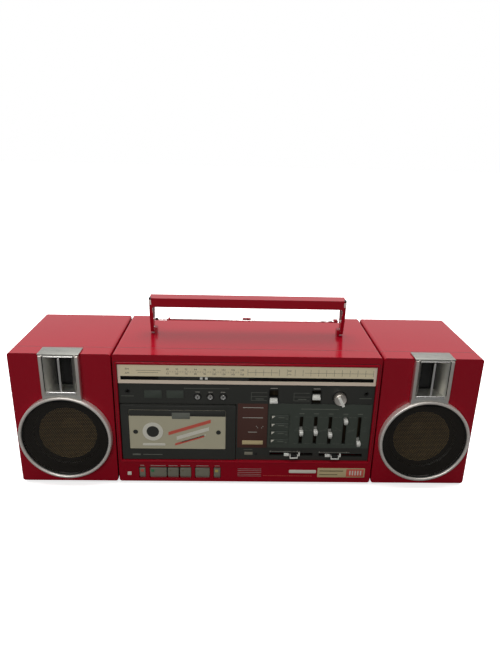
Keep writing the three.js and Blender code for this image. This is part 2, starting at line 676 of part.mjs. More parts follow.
function buildAntenna() {
  const floor = bodyTop - stepDrop;
  const saddle = floor + 1.2;     // the mast's root turns clear above this
  const stub = rodZ(antennaPivotX, antennaY, swivelRadius, [floor - 3, saddle]);
  const cheekX = [antennaPivotX - swivelRadius + 0.1, antennaPivotX + swivelRadius - 0.1];
  const cheekInside = rootRadius + gap;
  const cheekOutside = cheekInside + 1.8;
  const cheeks = [-1, 1].map((side) => block(cheekX,
    onSide(side, [cheekInside, cheekOutside]).map((y) => antennaY + y), [floor + gap, antennaZ + 3]));
  const foot = block(cheekX, [antennaY - cheekOutside, antennaY + cheekOutside],
    [floor + gap, saddle]);
  addPiece('antenna_pivot', joined(stub, foot, ...cheeks), blackPlastic);

  const alongX = (profile, segments = 12) => {
    const solid = turned(0, 0, profile, segments);
    return solid.rotate([0, 0, 90]).translate([0, antennaY, antennaZ]);
  };
  const mastRoot = -antennaPivotX + 5;
  const root = rodX(antennaY, antennaZ, rootRadius, [antennaPivotX - 8, antennaPivotX + 2], 8);
  const mast = alongX([[0, mastRoot], [mastRadius, mastRoot + 1], [mastRadius, mastTip],
    [mastBore, mastTip], [mastBore, mastRoot + 15], [0, mastRoot + 15]]);
  addPiece('antenna_mast', joined(mast, root), silver);
  const middleRoot = mastRoot + 20;
  const middleEnd = mastTip + 1.5;
  addPiece('antenna_middle', alongX([[0, middleRoot], [middleRadius, middleRoot],
    [middleRadius, middleEnd], [middleBore, middleEnd], [middleBore, middleRoot + 5],
    [0, middleRoot + 5]]), silver);
  const ball = mastTip + tipReach;
  const tipRoot = middleRoot + 10;
  addPiece('antenna_tip', alongX([[0, tipRoot], [tipRadius, tipRoot], [tipRadius, ball - tipBall],
    [tipBall, ball - 1], [tipBall, ball + 1], [tipRadius, ball + tipBall], [0, ball + tipBall]]),
  blackPlastic);
}

// ---------------------------------------------------------------- speakers
const drawnSpeaker = 119.2;
const round = (r) => r * speakerWidth / drawnSpeaker;   // the woofer follows the box's width
const ringOuter = round(56.3);
const ringInner = round(52.5);
const ringDepth = 8;
const wooferZ = bodyBottom + 7.7 + ringOuter;
const wooferHole = round(47);
const hornWidth = 48;
const hornBottom = wooferZ + ringOuter - 5.8;
const hornTop = bodyTop + 1.8;
const mouthWidth = 36;
const mouthZ = [hornBottom + 9.2, bodyTop - 5.3];
const mouthHeight = mouthZ[1] - mouthZ[0];
const mouthMiddle = (mouthZ[0] + mouthZ[1]) / 2;
const throatSize = [12, mouthHeight * 0.77];
const throatWall = 1.5;
const hornDepth = 20;
const hornProud = 6;
const vaneHalf = 1.6;

function buildSpeaker(prefix, side) {
  const x = side * speakerX;
  const half = speakerWidth / 2;
  const across = [x - half, x + half];
  const within = [x - half + wall, x + half - wall];
  const innerFace = x - side * half;

  const hornHole = block([x - mouthWidth / 2 - 2, x + mouthWidth / 2 + 2], [-1, wall + 1],
    [mouthZ[0] - 2, mouthZ[1] + 2]);
  const box = slab(across, [0, frameBack], [bodyBottom, bodyTop], cornerRadius);
  const hollow = block(within, [wall, frameDepth + 1], [bodyBottom + wall, bodyTop - wall]);
  const footEnds = [half - footInset - footLength, half - footInset];
  const feetAcross = [-1, 1].map((end) => onSide(end, footEnds).map((dx) => x + dx));
  const baffle = cut(joined(cut(box, hollow), ...feet(feetAcross, frontFeetY)), hornHole,
    rodY(x, wooferZ, wooferHole, [-1, wall + 1], 36));
  addPiece(`${prefix}_speaker_front`, baffle, redPaint);

  const shell = slab(across, [shellFront, bodyDepth], [bodyBottom, bodyTop], cornerRadius);
  const shellHollow = block(within, [frameDepth - 1, bodyDepth - wall], [bodyBottom + wall, bodyTop - wall]);
  const sockets = pegHeights.map(([z0, z1]) => block([innerFace - 5, innerFace + 5],
    [pegY[0] - slip, pegY[1] + slip], [z0 - slip, z1 + slip]));
  const rests = feet(feetAcross, rearFeetY);
  addPiece(`${prefix}_speaker_shell`, cut(joined(cut(shell, shellHollow), ...rests), ...sockets), redPaint);

  const ring = [[ringInner, -gap], [ringInner, -ringDepth + 1.5], [ringInner + 1.4, -ringDepth],
    [ringOuter - 1, -ringDepth + 0.8], [ringOuter, -gap], [ringInner, -gap]];
  addPiece(`${prefix}_woofer_ring`, turned(x, wooferZ, ring, 44), silver);
  addPiece(`${prefix}_woofer_grille`, rodY(x, wooferZ, ringInner - gap, [-5.4, -4.4], 44), meshBlack);

  const flange = [wooferHole - 2, wooferHole + 5];
  const basket = [[flange[0], wall + gap], [flange[1], wall + gap], [flange[1], 6], [round(45), 8],
    [round(30), 34], [round(30), 40], [round(33), 40], [round(33), 56], [0, 56], [0, 38], [round(26), 38],
    [round(26), 33], [round(43), 7.5], [flange[0], 6], [flange[0], wall + gap]];
  addPiece(`${prefix}_woofer_frame`, turned(x, wooferZ, basket, 24), steel);
  const cone = [[0, 17.5], [8, 19], [13, 22.5], [35.5, 7], [38, 5.6], [40.5, 7], [40.5, 7.8], [38, 6.6],
    [35.5, 8.2], [12.5, 24], [12.5, 32], [11, 32], [11, 23.5], [0, 18.7]].map(([r, y]) => [round(r), y]);
  addPiece(`${prefix}_woofer_cone`, turned(x, wooferZ, cone, 24), paperCone);

  const face = slab([x - hornWidth / 2, x + hornWidth / 2], [-hornProud, -gap], [hornBottom, hornTop], 2, 2);
  const topPlate = block([x - hornWidth / 2, x + hornWidth / 2], [-hornProud + 1, 16],
    [bodyTop + gap, hornTop]);
  const halfThroat = mouthWidth / 2 + throatWall;
  const throatBox = block([x - halfThroat, x + halfThroat], [-hornProud + 1, hornDepth],
    [mouthZ[0] - throatWall, mouthZ[1] + throatWall]);
  const mouth = funnel(x, mouthMiddle, [mouthWidth, mouthHeight], throatSize,
    [-hornProud - 1, hornDepth - 2]);
  const vane = block([x - vaneHalf, x + vaneHalf], [-hornProud + 1, hornDepth - 1],
    [mouthZ[0] - 1, mouthZ[1] + 1]);
  const ringRoom = rodY(x, wooferZ, ringOuter + gap, [-2 * hornProud, 0], 44);
  addPiece(`${prefix}_horn_bezel`, joined(cut(joined(face, topPlate, throatBox), mouth, ringRoom), vane), silver);
}

buildFrontFrame();
buildRearShell();
buildDial();
buildFascia();
buildControls();
buildTransportKeys();
buildDoor();
buildDeck();
buildElectronics();
buildHandle();
buildAntenna();
buildSpeaker('left', -1);
buildSpeaker('right', 1);

// The rings are the foremost faces and the cabinet backs the rearmost.
model.position.y = -(bodyDepth - ringDepth) / 2;

export default model;
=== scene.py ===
"""Finishes a portable stereo radio-cassette with two detachable box speakers.

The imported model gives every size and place. This script adds the surfaces, trims, printed
marks and materials, and a plain studio to look at them in.
"""

import logging
import math
from dataclasses import dataclass, field
from enum import Enum
from typing import Iterable, Sequence

import bmesh
import bpy
import numpy as np
from mathutils import Matrix, Vector


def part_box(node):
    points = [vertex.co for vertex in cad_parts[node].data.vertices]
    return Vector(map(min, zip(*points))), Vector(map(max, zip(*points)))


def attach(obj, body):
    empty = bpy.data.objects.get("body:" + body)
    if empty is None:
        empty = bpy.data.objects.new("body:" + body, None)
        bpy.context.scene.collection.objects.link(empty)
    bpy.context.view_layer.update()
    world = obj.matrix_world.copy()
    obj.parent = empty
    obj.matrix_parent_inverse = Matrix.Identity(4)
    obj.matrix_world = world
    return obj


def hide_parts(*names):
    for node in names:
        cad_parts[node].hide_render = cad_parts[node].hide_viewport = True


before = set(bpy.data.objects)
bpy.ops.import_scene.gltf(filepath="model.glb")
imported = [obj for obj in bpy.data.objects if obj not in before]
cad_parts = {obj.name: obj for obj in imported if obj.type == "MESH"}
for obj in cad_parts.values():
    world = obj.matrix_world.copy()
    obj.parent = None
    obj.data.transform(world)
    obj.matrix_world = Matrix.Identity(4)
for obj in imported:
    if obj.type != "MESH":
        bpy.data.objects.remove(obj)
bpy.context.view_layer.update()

Array = np.ndarray
Colour = tuple[float, float, float]
Span = tuple[float, float]
Surface = tuple[np.ndarray, list]
Profile = Sequence[tuple[float, float]]
Socket = bpy.types.NodeSocket

log = logging.getLogger("radio_cassette")

MM = 0.001
FOOT = 3.0                      # the cabinets stand this high, in millimetres
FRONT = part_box("left_speaker_front")[0].y / MM
ORIGIN = np.array([0.0, FRONT, FOOT])


class Axis(Enum):
    """The direction that a turned piece is turned about."""

    X = 0
    Y = 1
    Z = 2


# ------------------------------------------------------------------ places
def place(points: Array) -> Array:
    """Turns cabinet millimetres (y from the cabinet front, z from its underside) into metres."""
    return (np.asarray(points, float) + ORIGIN) * MM


def box_mm(node: str) -> tuple[Array, Array]:
    """Gives a node's lowest and highest corner in cabinet millimetres."""
    low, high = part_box(node)
    return np.array(low) / MM - ORIGIN, np.array(high) / MM - ORIGIN


def middle(node: str) -> Array:
    """Gives the centre of a node's box in cabinet millimetres."""
    low, high = box_mm(node)
    return (low + high) / 2


# ------------------------------------------------------------------ meshes
def mesh_object(name: str, points: Array, faces: list, sharp_deg: float) -> bpy.types.Object:
    """Makes a smooth-shaded object whose doubles are merged and whose faces point outwards.

    Args:
        name: the piece's name.
        points: vertices in cabinet millimetres, one row each.
        faces: lists of vertex numbers.
        sharp_deg: edges turning by more than this stay crisp.

    Returns:
        The linked object, which sits at the origin.
    """
    mesh = bpy.data.meshes.new(name)
    mesh.from_pydata(place(points).tolist(), [], faces)
    work = bmesh.new()
    work.from_mesh(mesh)
    bmesh.ops.remove_doubles(work, verts=work.verts, dist=2e-6)
    bmesh.ops.recalc_face_normals(work, faces=work.faces)
    work.to_mesh(mesh)
    work.free()
    return link_mesh(name, mesh, sharp_deg)


def link_mesh(name: str, mesh: bpy.types.Mesh, sharp_deg: float = 35.0) -> bpy.types.Object:
    """Shades a mesh smooth up to an angle and puts it in the scene under a name."""
    mesh.shade_smooth()
    mesh.set_sharp_from_angle(angle=math.radians(sharp_deg))
    piece = bpy.data.objects.new(name, mesh)
    bpy.context.scene.collection.objects.link(piece)
    return piece


def grid_faces(rows: int, cols: int, wrap_rows: bool, wrap_cols: bool) -> Array:
    """Numbers the quads of a rows by cols grid of points, joined end to end where it wraps."""
    r = np.arange(rows if wrap_rows else rows - 1)[:, None]
    c = np.arange(cols if wrap_cols else cols - 1)[None, :]
    r1, c1 = (r + 1) % rows, (c + 1) % cols
    corners = [r * cols + c, r * cols + c1, r1 * cols + c1, r1 * cols + c]
    return np.stack([np.broadcast_to(k, (r.size, c.size)) for k in corners], -1).reshape(-1, 4)


def skin(loops: Array, ring: bool = False, caps: bool = True) -> Surface:
    """Joins equal loops of points into a closed surface.

    Args:
        loops: an array of loops, each an array of points.
        ring: the last loop joins the first, as round a frame.
        caps: the first and last loop are filled.

    Returns:
        The points and the faces.
    """
    rows, cols = loops.shape[:2]
    faces = grid_faces(rows, cols, ring, True).tolist()
    if caps and not ring:
        faces.append(list(range(cols))[::-1])
        faces.append(list(range((rows - 1) * cols, rows * cols)))
    return loops.reshape(-1, 3), faces


def rounded_box(low: Array, high: Array, radius: float, steps: int = 3) -> Surface:
    """A box with rounded edges: a cube's sphere of directions, scaled by the radius and pushed
    out to the corners of the inner box.

    Args:
        low: lowest corner.
        high: highest corner.
        radius: edge radius, held within half of the smallest side.
        steps: segments across each rounded edge's half.

    Returns:
        The points and the faces.
    """
    low, high = np.asarray(low, float), np.asarray(high, float)
    radius = min(radius, (high - low).min() / 2 - 1e-4)
    half = (high - low) / 2 - radius
    t = np.concatenate([np.linspace(-1, 0, steps + 1), np.linspace(0, 1, steps + 1)])
    side = np.concatenate([-np.ones(steps + 1), np.ones(steps + 1)])
    u, v = np.meshgrid(np.tan(t * math.pi / 4), np.tan(t * math.pi / 4), indexing="ij")
    su, sv = np.meshgrid(side, side, indexing="ij")
    points, faces = [], []
    quads = grid_faces(t.size, t.size, False, False)
    for axis in range(3):
        for end in (-1.0, 1.0):
            order = [(axis + k) % 3 for k in range(3)]
            direction = np.zeros((t.size, t.size, 3))
            corner = np.zeros_like(direction)
            flat = np.full_like(u, end)
            for k, d, s in zip(order, (flat, u, v), (flat, su, sv)):
                direction[..., k], corner[..., k] = d, s
            direction /= np.linalg.norm(direction, axis=-1, keepdims=True)
            faces.append(quads + sum(p.shape[0] for p in points))
            points.append(((low + high) / 2 + corner * half + direction * radius).reshape(-1, 3))
    return np.concatenate(points), np.concatenate(faces).tolist()


def rounded_outline(x: Span, z: Span, radius: float, steps: int = 6, runs: int = 0) -> Array:
    """Points round a rectangle with rounded corners in the XZ plane.

    Args:
        x: left and right side.
        z: bottom and top side.
        radius: corner radius, held within half of the shorter side.
        steps: segments across each corner.
        runs: extra points along each straight side.

    Returns:
        The points, anticlockwise from the lower end of the right side's upper corner.
    """
    radius = min(radius, (x[1] - x[0]) / 2 - 1e-3, (z[1] - z[0]) / 2 - 1e-3)
    arc = np.linspace(0, math.pi / 2, steps + 1)
    quarter = np.arange(4)[:, None] * math.pi / 2
    angle = (quarter + arc[None, :]).ravel()
    sign_x = np.repeat([1, -1, -1, 1], steps + 1)
    sign_z = np.repeat([1, 1, -1, -1], steps + 1)
    cx = (x[0] + x[1]) / 2 + sign_x * ((x[1] - x[0]) / 2 - radius)
    cz = (z[0] + z[1]) / 2 + sign_z * ((z[1] - z[0]) / 2 - radius)
    corners = np.stack([cx + radius * np.cos(angle), cz + radius * np.sin(angle)], -1)
    corners = corners.reshape(4, steps + 1, 2)
    share = (np.arange(1, runs + 1) / (runs + 1))[None, :, None]
    straight = corners[:, -1:] * (1 - share) + np.roll(corners, -1, 0)[:, :1] * share
    return np.concatenate([corners, straight], 1).reshape(-1, 2)


def flat_loop(outline: Array, y: float) -> Array:
    """Stands a plane outline up in the XZ plane at one depth."""
    return np.stack([outline[:, 0], np.full(len(outline), y), outline[:, 1]], -1)


def plate(x: Span, z: Span, y: Span, radius: float, edge: float) -> Surface:
    """A flat plate facing the front: one rounded outline carried along Y, drawn in at each face.

    Args:
        x: left and right side.
        z: bottom and top side.
        y: front and back face.
        radius: corner radius.
        edge: how far the front face is drawn in; the back face is drawn in by half of it.

    Returns:
        The points and the faces.
    """
    eased = [(edge, y[0]), (edge * 0.3, y[0] + edge * 0.3), (0, y[0] + edge),
             (0, y[1] - edge * 0.5), (edge * 0.5, y[1])]
    outlines = [rounded_outline((x[0] + d, x[1] - d), (z[0] + d, z[1] - d), radius - d * 0.5)
                for d, _ in eased]
    return skin(np.stack([flat_loop(outline, depth)
                          for outline, (_, depth) in zip(outlines, eased)]))


def rim(x: Span, z: Span, y: Span, width: float, radius: float, edge: float) -> Surface:
    """A raised rectangular rim: loops going forward outside and back inside, closed as a ring.

    Args:
        x: left and right side.
        z: bottom and top side.
        y: front and back face.
        width: the rim's own width.
        radius: outer corner radius.
        edge: size of the eased front edges.

    Returns:
        The points and the faces.
    """
    def loop(inset: float, depth: float) -> Array:
        """One loop, drawn in from the outer side."""
        return flat_loop(rounded_outline((x[0] + inset, x[1] - inset), (z[0] + inset, z[1] - inset),
                                         max(radius - inset, 0.2)), depth)

    near, far = edge * 0.3, y[0] + edge
    loops = [loop(0, y[1]), loop(0, far), loop(near, y[0] + near), loop(edge, y[0]),
             loop(width - edge, y[0]), loop(width - near, y[0] + near), loop(width, far),
             loop(width, y[1])]
    return skin(np.stack(loops), ring=True)


def turned(profile: Profile, centre: Sequence[float], axis: Axis = Axis.Y,
           segments: int = 64, ring: bool = False) -> Surface:
    """Turns a profile of (radius, distance along the axis) pairs about a line through a centre.

    Args:
        profile: the outline, from one end to the other, or closed when ring is set.
        centre: a point on the line; the distances are counted from it.
        axis: the line's direction.
        segments: points round each loop.
        ring: the profile closes on itself and never meets the axis.

    Returns:
        The points and the faces.
    """
    rows = np.asarray(profile, float)
    angle = np.linspace(0, 2 * math.pi, segments, endpoint=False)
    points = np.zeros((len(rows), segments, 3))
    a, b = [k for k in range(3) if k != axis.value]
    points[..., a] = rows[:, :1] * np.cos(angle)
    points[..., b] = rows[:, :1] * np.sin(angle)
    points[..., axis.value] = rows[:, 1:]
    return skin(points + np.asarray(centre, float), ring=ring, caps=not ring)


def swung(shape: Surface, degrees: float, centre: Sequence[float]) -> Surface:
    """Turns a surface about the Y axis, from X towards Z, then moves it to a centre."""
    x, y, z = shape[0].T
    cos, sin = math.cos(math.radians(degrees)), math.sin(math.radians(degrees))
    return np.stack([x * cos - z * sin, y, x * sin + z * cos], -1) + np.asarray(centre), shape[1]


def joined(parts: Iterable[Surface]) -> Surface:
    """Puts several closed surfaces into one list of points and faces."""
    points: list[Array] = []
    faces: list = []
    count = 0
    for part_points, part_faces in parts:
        faces += [[v + count for v in face] for face in part_faces]
        points.append(part_points)
        count += len(part_points)
    return np.concatenate(points), faces


def bars(boxes: Sequence[tuple[Span, Span]], y: Span) -> Surface:
    """Many small flat bars facing the front, each given by its X and Z span, as one surface."""
    spans = np.asarray(boxes, float)
    xs, zs = spans[:, 0, :], spans[:, 1, :]
    pick = np.array([[0, 0, 0], [1, 0, 0], [1, 0, 1], [0, 0, 1],
                     [0, 1, 0], [1, 1, 0], [1, 1, 1], [0, 1, 1]])
    ys = np.broadcast_to(np.asarray(y)[pick[:, 1]], (len(xs), len(pick)))
    points = np.stack([xs[:, pick[:, 0]], ys, zs[:, pick[:, 2]]], -1)
    quads = np.array([[0, 1, 2, 3], [5, 4, 7, 6], [4, 0, 3, 7],
                      [1, 5, 6, 2], [3, 2, 6, 7], [4, 5, 1, 0]])
    faces = quads[None] + np.arange(len(xs))[:, None, None] * 8
    return points.reshape(-1, 3), faces.reshape(-1, 4).tolist()


def perforated_disc(centre: Sequence[float], radius: float, pitch: float, hole: float,
                    y: Span, crown: float) -> Surface:
    """A domed disc of steel with hexagonal holes on a honeycomb.

    Each cell is a hexagon with a smaller hexagon cut through it. The depth is the disc's own
    plus a crown that falls off with the square of the distance from the middle.

    Args:
        centre: x and z of the middle.
        radius: reach of the disc.
        pitch: distance between neighbouring holes.
        hole: radius of a hole.
        y: front and back face at the rim.
        crown: how far the middle stands forward.

    Returns:
        The points and the faces.
    """
    count = int(radius / pitch) + 2
    i, j = np.meshgrid(np.arange(-count, count + 1), np.arange(-count, count + 1), indexing="ij")
    cells = np.stack([(i + 0.5 * (j % 2)).ravel() * pitch, j.ravel() * pitch * math.sqrt(0.75)], -1)
    cells = cells[np.hypot(cells[:, 0], cells[:, 1]) < radius - pitch * 0.6]
    angle = math.radians(30) + np.arange(6) * math.pi / 3
    corner = np.stack([np.cos(angle), np.sin(angle)], -1)
    loops = [(pitch / math.sqrt(3), 0), (hole, 0), (hole, 1), (pitch / math.sqrt(3), 1)]
    points = np.zeros((len(cells), 4, 6, 3))
    for row, (reach, face) in enumerate(loops):
        flat = cells[:, None, :] + corner[None] * reach
        bulge = crown * (1 - (flat ** 2).sum(-1) / radius ** 2)
        points[:, row, :, 0], points[:, row, :, 2] = flat[..., 0], flat[..., 1]
        points[:, row, :, 1] = y[face] - bulge
    quads = grid_faces(4, 6, True, True)
    faces = (quads[None] + np.arange(len(cells))[:, None, None] * 24)
    walls = faces[:, 18:].reshape(-1, 4)
    flat_points = points.reshape(-1, 3)
    wall_middle = np.round(flat_points[walls].mean(1), 3)
    _, index, seen = np.unique(wall_middle, axis=0, return_inverse=True, return_counts=True)
    outside = walls[seen[index.ravel()] == 1]
    kept = np.concatenate([faces[:, :18].reshape(-1, 4), outside])
    flat_points = flat_points + np.array([centre[0], 0, centre[1]])
    return flat_points, kept.tolist()


def softened(node: str, name: str, width: float, segments: int) -> bpy.types.Object:
    """A copy of a node's solid, its doubles merged and its triangles paired, with eased edges.

    Args:
        node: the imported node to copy.
        name: the piece's name.
        width: edge size in millimetres.
        segments: segments across each eased edge.

    Returns:
        The object, with a live bevel that shows the same in every view.
    """
    crisp_deg, eased_deg = 32.0, 28.0
    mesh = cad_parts[node].data.copy()
    mesh.name = name
    mesh.materials.clear()
    work = bmesh.new()
    work.from_mesh(mesh)
    bmesh.ops.remove_doubles(work, verts=work.verts, dist=1e-6)
    bmesh.ops.join_triangles(work, faces=work.faces, angle_face_threshold=0.01,
                             angle_shape_threshold=3.1)
    work.to_mesh(mesh)
    work.free()
    piece = link_mesh(name, mesh, crisp_deg)
    bevel = piece.modifiers.new("eased_edges", "BEVEL")
    bevel.width = width * MM
    bevel.segments = segments
    bevel.limit_method = "ANGLE"
    bevel.angle_limit = math.radians(eased_deg)
    bevel.use_clamp_overlap = True
    bevel.miter_outer = "MITER_ARC"
    even = piece.modifiers.new("flat_faces", "WEIGHTED_NORMAL")
    even.mode, even.weight, even.keep_sharp = "FACE_AREA", 100, True
    return piece


def figures(name: str, entries: Sequence[tuple[str, float, float, float]],
            y: float) -> bpy.types.Object:
    """Raised figures on one face, each given by its text, x, z and height, made into one mesh."""
    upright = Matrix.Rotation(math.pi / 2, 4, "X")
    work = bmesh.new()
    for text, x, z, height in entries:
        curve = bpy.data.curves.new("figure", "FONT")
        curve.body, curve.size, curve.extrude = text, height * MM, 0.02 * MM
        curve.align_x, curve.align_y = "CENTER", "CENTER"
        curve.resolution_u = 3
        holder = bpy.data.objects.new("figure", curve)
        bpy.context.scene.collection.objects.link(holder)
        bpy.context.view_layer.update()
        flat = bpy.data.meshes.new_from_object(holder)
        flat.transform(Matrix.Translation(Vector(place(np.array([x, y, z])))) @ upright)
        work.from_mesh(flat)
        bpy.data.objects.remove(holder)
        bpy.data.curves.remove(curve)
        bpy.data.meshes.remove(flat)
    mesh = bpy.data.meshes.new(name)
    work.to_mesh(mesh)
    work.free()
    return link_mesh(name, mesh)


# ------------------------------------------------------------------ materials
class Shade:
    """One material's node tree, built up with short calls."""

    def __init__(self, name: str) -> None:
        """Starts a material with its principled shader."""
        self.material = bpy.data.materials.new(name)
        self.material.use_nodes = True
        self.tree = self.material.node_tree
        self.shader = self.tree.nodes["Principled BSDF"]

    def set(self, **values: object) -> None:
        """Sets the shader's own sockets; underscores in a name stand for spaces."""
        for key, value in values.items():
            self.feed(self.shader.inputs[key.replace("_", " ")], value)

    def feed(self, socket: Socket, value: object) -> None:
        """Links a socket to a node's output, or gives it a plain value."""
        if isinstance(value, Socket):
            self.tree.links.new(value, socket)
        else:
            socket.default_value = value

    def node(self, kind: str, inputs: dict | None = None, **settings: object) -> bpy.types.Node:
        """Adds a node, with its settings and its input sockets."""
        made = self.tree.nodes.new(kind)
        for key, value in settings.items():
            setattr(made, key, value)
        for key, value in (inputs or {}).items():
            self.feed(made.inputs[key], value)
        return made

    def coordinates(self, scale: Sequence[float] = (1, 1, 1),
                    move: Sequence[float] = (0, 0, 0)) -> Socket:
        """Object coordinates in metres, moved and stretched."""
        source = self.node("ShaderNodeTexCoord").outputs["Object"]
        return self.node("ShaderNodeMapping", {"Vector": source, "Scale": scale,
                                               "Location": move}).outputs["Vector"]

    def noise(self, scale: float, detail: float = 4.0,
              stretch: Sequence[float] = (1, 1, 1)) -> Socket:
        """Cloudy noise, between 0 and 1, on object coordinates."""
        return self.node("ShaderNodeTexNoise", {"Vector": self.coordinates(stretch), "Scale": scale,
                                                "Detail": detail}).outputs["Fac"]

    def between(self, factor: Socket, low: float, high: float) -> Socket:
        """Spreads a noise value over a range."""
        return self.node("ShaderNodeMapRange", {"Value": factor, "From Min": 0.3, "From Max": 0.7,
                                                "To Min": low, "To Max": high}).outputs["Result"]

    def blend(self, factor: Socket, first: Colour, second: Colour) -> Socket:
        """Mixes two colours."""
        mix = self.node("ShaderNodeMix", data_type="RGBA")
        self.feed(mix.inputs[0], factor)
        self.feed(mix.inputs[6], (*first, 1.0))
        self.feed(mix.inputs[7], (*second, 1.0))
        return mix.outputs[2]

    def clouded(self, factor: Socket, colour: Colour, darker: float, lighter: float) -> Socket:
        """Mixes two tints of one colour."""
        return self.blend(factor, tinted(colour, darker), tinted(colour, lighter))

    def bump(self, height: Socket, strength: float, distance: float) -> None:
        """Raises the surface's relief by a height, in millimetres."""
        relief = self.node("ShaderNodeBump", {"Height": height, "Strength": strength,
                                              "Distance": distance * MM})
        self.feed(self.shader.inputs["Normal"], relief.outputs["Normal"])


def tinted(colour: Colour, factor: float) -> Colour:
    """Scales a colour, held below one."""
    return tuple(min(1.0, channel * factor) for channel in colour)


@dataclass(frozen=True)
class Finish:
    """A finish that a piece takes: its name, the record's slot, its colour and its gloss."""

    name: str
    slot: str
    colour: Colour
    roughness: float = 0.4

    def build(self, shade: Shade) -> None:
        """Fills in the node tree; each kind of finish has its own."""
        raise NotImplementedError

    def material(self) -> bpy.types.Material:
        """Gives the finish's material, made once."""
        known = bpy.data.materials.get(self.name)
        if known:
            return known
        shade = Shade(self.name)
        self.build(shade)
        return shade.material


@dataclass(frozen=True)
class Lacquer(Finish):
    """Sprayed gloss paint over moulded plastic, with a faint orange peel and handling haze."""

    sheen_level: float = 0.25

    def build(self, shade: Shade) -> None:
        """Cloudy colour, hazy gloss and a fine ripple."""
        cloud = shade.noise(9.0)
        haze = shade.noise(45.0, 6.0)
        shade.set(Base_Color=shade.clouded(cloud, self.colour, 0.92, 1.07),
                  Roughness=shade.between(haze, self.roughness - 0.03, self.roughness + 0.05),
                  Specular_IOR_Level=self.sheen_level)
        shade.bump(shade.noise(260.0, 2.0), 0.05, 0.08)


@dataclass(frozen=True)
class Moulding(Finish):
    """Moulded plastic with a fine spark-eroded grain."""

    grain: float = 0.25

    def build(self, shade: Shade) -> None:
        """Even colour with slight clouds, and a fine pitted grain."""
        cloud = shade.noise(30.0)
        gloss = shade.between(shade.noise(120.0), self.roughness - 0.05, self.roughness + 0.08)
        shade.set(Base_Color=shade.clouded(cloud, self.colour, 0.86, 1.16), Roughness=gloss)
        shade.bump(shade.noise(2600.0, 3.0), self.grain, 0.05)


@dataclass(frozen=True)
class Plating(Finish):
    """Satin plated or drawn metal, with fine lines along one direction."""

    stretch: tuple[float, float, float] = (1.0, 40.0, 40.0)
    lines: float = 0.15
    metal: float = 1.0

    def build(self, shade: Shade) -> None:
        """Metal whose gloss is broken up by stretched noise and faint clouding."""
        line = shade.noise(60.0, 5.0, self.stretch)
        shade.set(Metallic=self.metal,
                  Base_Color=shade.clouded(shade.noise(25.0), self.colour, 0.9, 1.06),
                  Roughness=shade.between(line, self.roughness - 0.06, self.roughness + 0.10))
        shade.bump(line, self.lines, 0.03)


@dataclass(frozen=True)
class Print(Finish):
    """Screen-printed ink: thin, slightly uneven and matt."""

    def build(self, shade: Shade) -> None:
        """Ink with pinhole-fine unevenness."""
        speckle = shade.noise(1500.0, 2.0)
        shade.set(Base_Color=shade.clouded(speckle, self.colour, 0.8, 1.0),
                  Roughness=self.roughness)


@dataclass(frozen=True)
class SmokedPane(Finish):
    """A smoked, slightly milky window."""

    opacity: float = 0.7

    def build(self, shade: Shade) -> None:
        """Half see-through plastic with fine handling haze."""
        haze = shade.noise(80.0, 6.0)
        shade.set(Base_Color=shade.clouded(shade.noise(20.0), self.colour, 0.92, 1.06),
                  Roughness=shade.between(haze, self.roughness, self.roughness + 0.1),
                  Alpha=self.opacity, Coat_Weight=0.4, Coat_Roughness=0.05)


@dataclass(frozen=True)
class ConePaper(Finish):
    """Pressed paper pulp with concentric ripples about the cone's own axis."""

    centre: tuple[float, float] = (0.0, 0.0)

    def build(self, shade: Shade) -> None:
        """Fibrous colour and rings centred on the cone."""
        where = shade.coordinates((1, 0, 1), (-self.centre[0], 0, -self.centre[1]))
        rings = shade.node("ShaderNodeTexWave", {"Vector": where, "Scale": 60.0, "Distortion": 0.6},
                           wave_type="RINGS", rings_direction="SPHERICAL").outputs["Fac"]
        fibre = shade.noise(700.0, 6.0)
        shade.set(Base_Color=shade.clouded(fibre, self.colour, 0.6, 1.35),
                  Roughness=self.roughness)
        shade.bump(rings, 0.3, 0.2)


@dataclass(frozen=True)
class Laminate(Finish):
    """A brown circuit board with copper tracks showing through the mask."""

    def build(self, shade: Shade) -> None:
        """Brick courses stand for the runs of track."""
        tracks = shade.node("ShaderNodeTexBrick", {
            "Vector": shade.coordinates(), "Scale": 60.0, "Mortar Size": 0.03,
            "Color1": (*self.colour, 1), "Color2": (*tinted(self.colour, 0.7), 1),
            "Mortar": (*tinted(self.colour, 2.0), 1)})
        shade.set(Base_Color=tracks.outputs["Color"], Roughness=self.roughness)
        shade.bump(tracks.outputs["Fac"], 0.2, 0.1)


CABINET_RED = Lacquer("cabinet_red", "red_cabinet", (0.34, 0.004, 0.015), 0.14)
FASCIA_BLACK = Moulding("fascia_black", "black_fascia", (0.030, 0.031, 0.026), 0.42)
SOFT_BLACK = Moulding("soft_black", "black_fascia", (0.008, 0.008, 0.007), 0.55)
PLATE_GREEN = Moulding("equalizer_green_grey", "dark_plate", (0.052, 0.063, 0.050), 0.38, 0.1)
TINTED_BROWN = Lacquer("tinted_brown", "dark_plate", (0.085, 0.038, 0.030), 0.3)
DIAL_CREAM = Print("dial_cream", "cream_dial", (1.0, 0.88, 0.60), 0.35)
DIAL_BORDER = Print("dial_border", "cream_dial", (0.98, 0.82, 0.66), 0.35)
PALE_INK = Print("pale_ink", "cream_dial", (0.50, 0.48, 0.42), 0.5)
FAINT_INK = Print("faint_ink", "dark_plate", (0.17, 0.18, 0.15), 0.5)
DARK_INK = Print("dark_ink", "black_fascia", (0.16, 0.13, 0.07), 0.5)
RED_INK = Print("red_ink", "red_cabinet", (0.75, 0.13, 0.09), 0.45)
GREEN_INK = Print("green_ink", "dark_plate", (0.05, 0.26, 0.11), 0.45)
YELLOW_INK = Print("yellow_ink", "cream_dial", (0.62, 0.50, 0.14), 0.45)
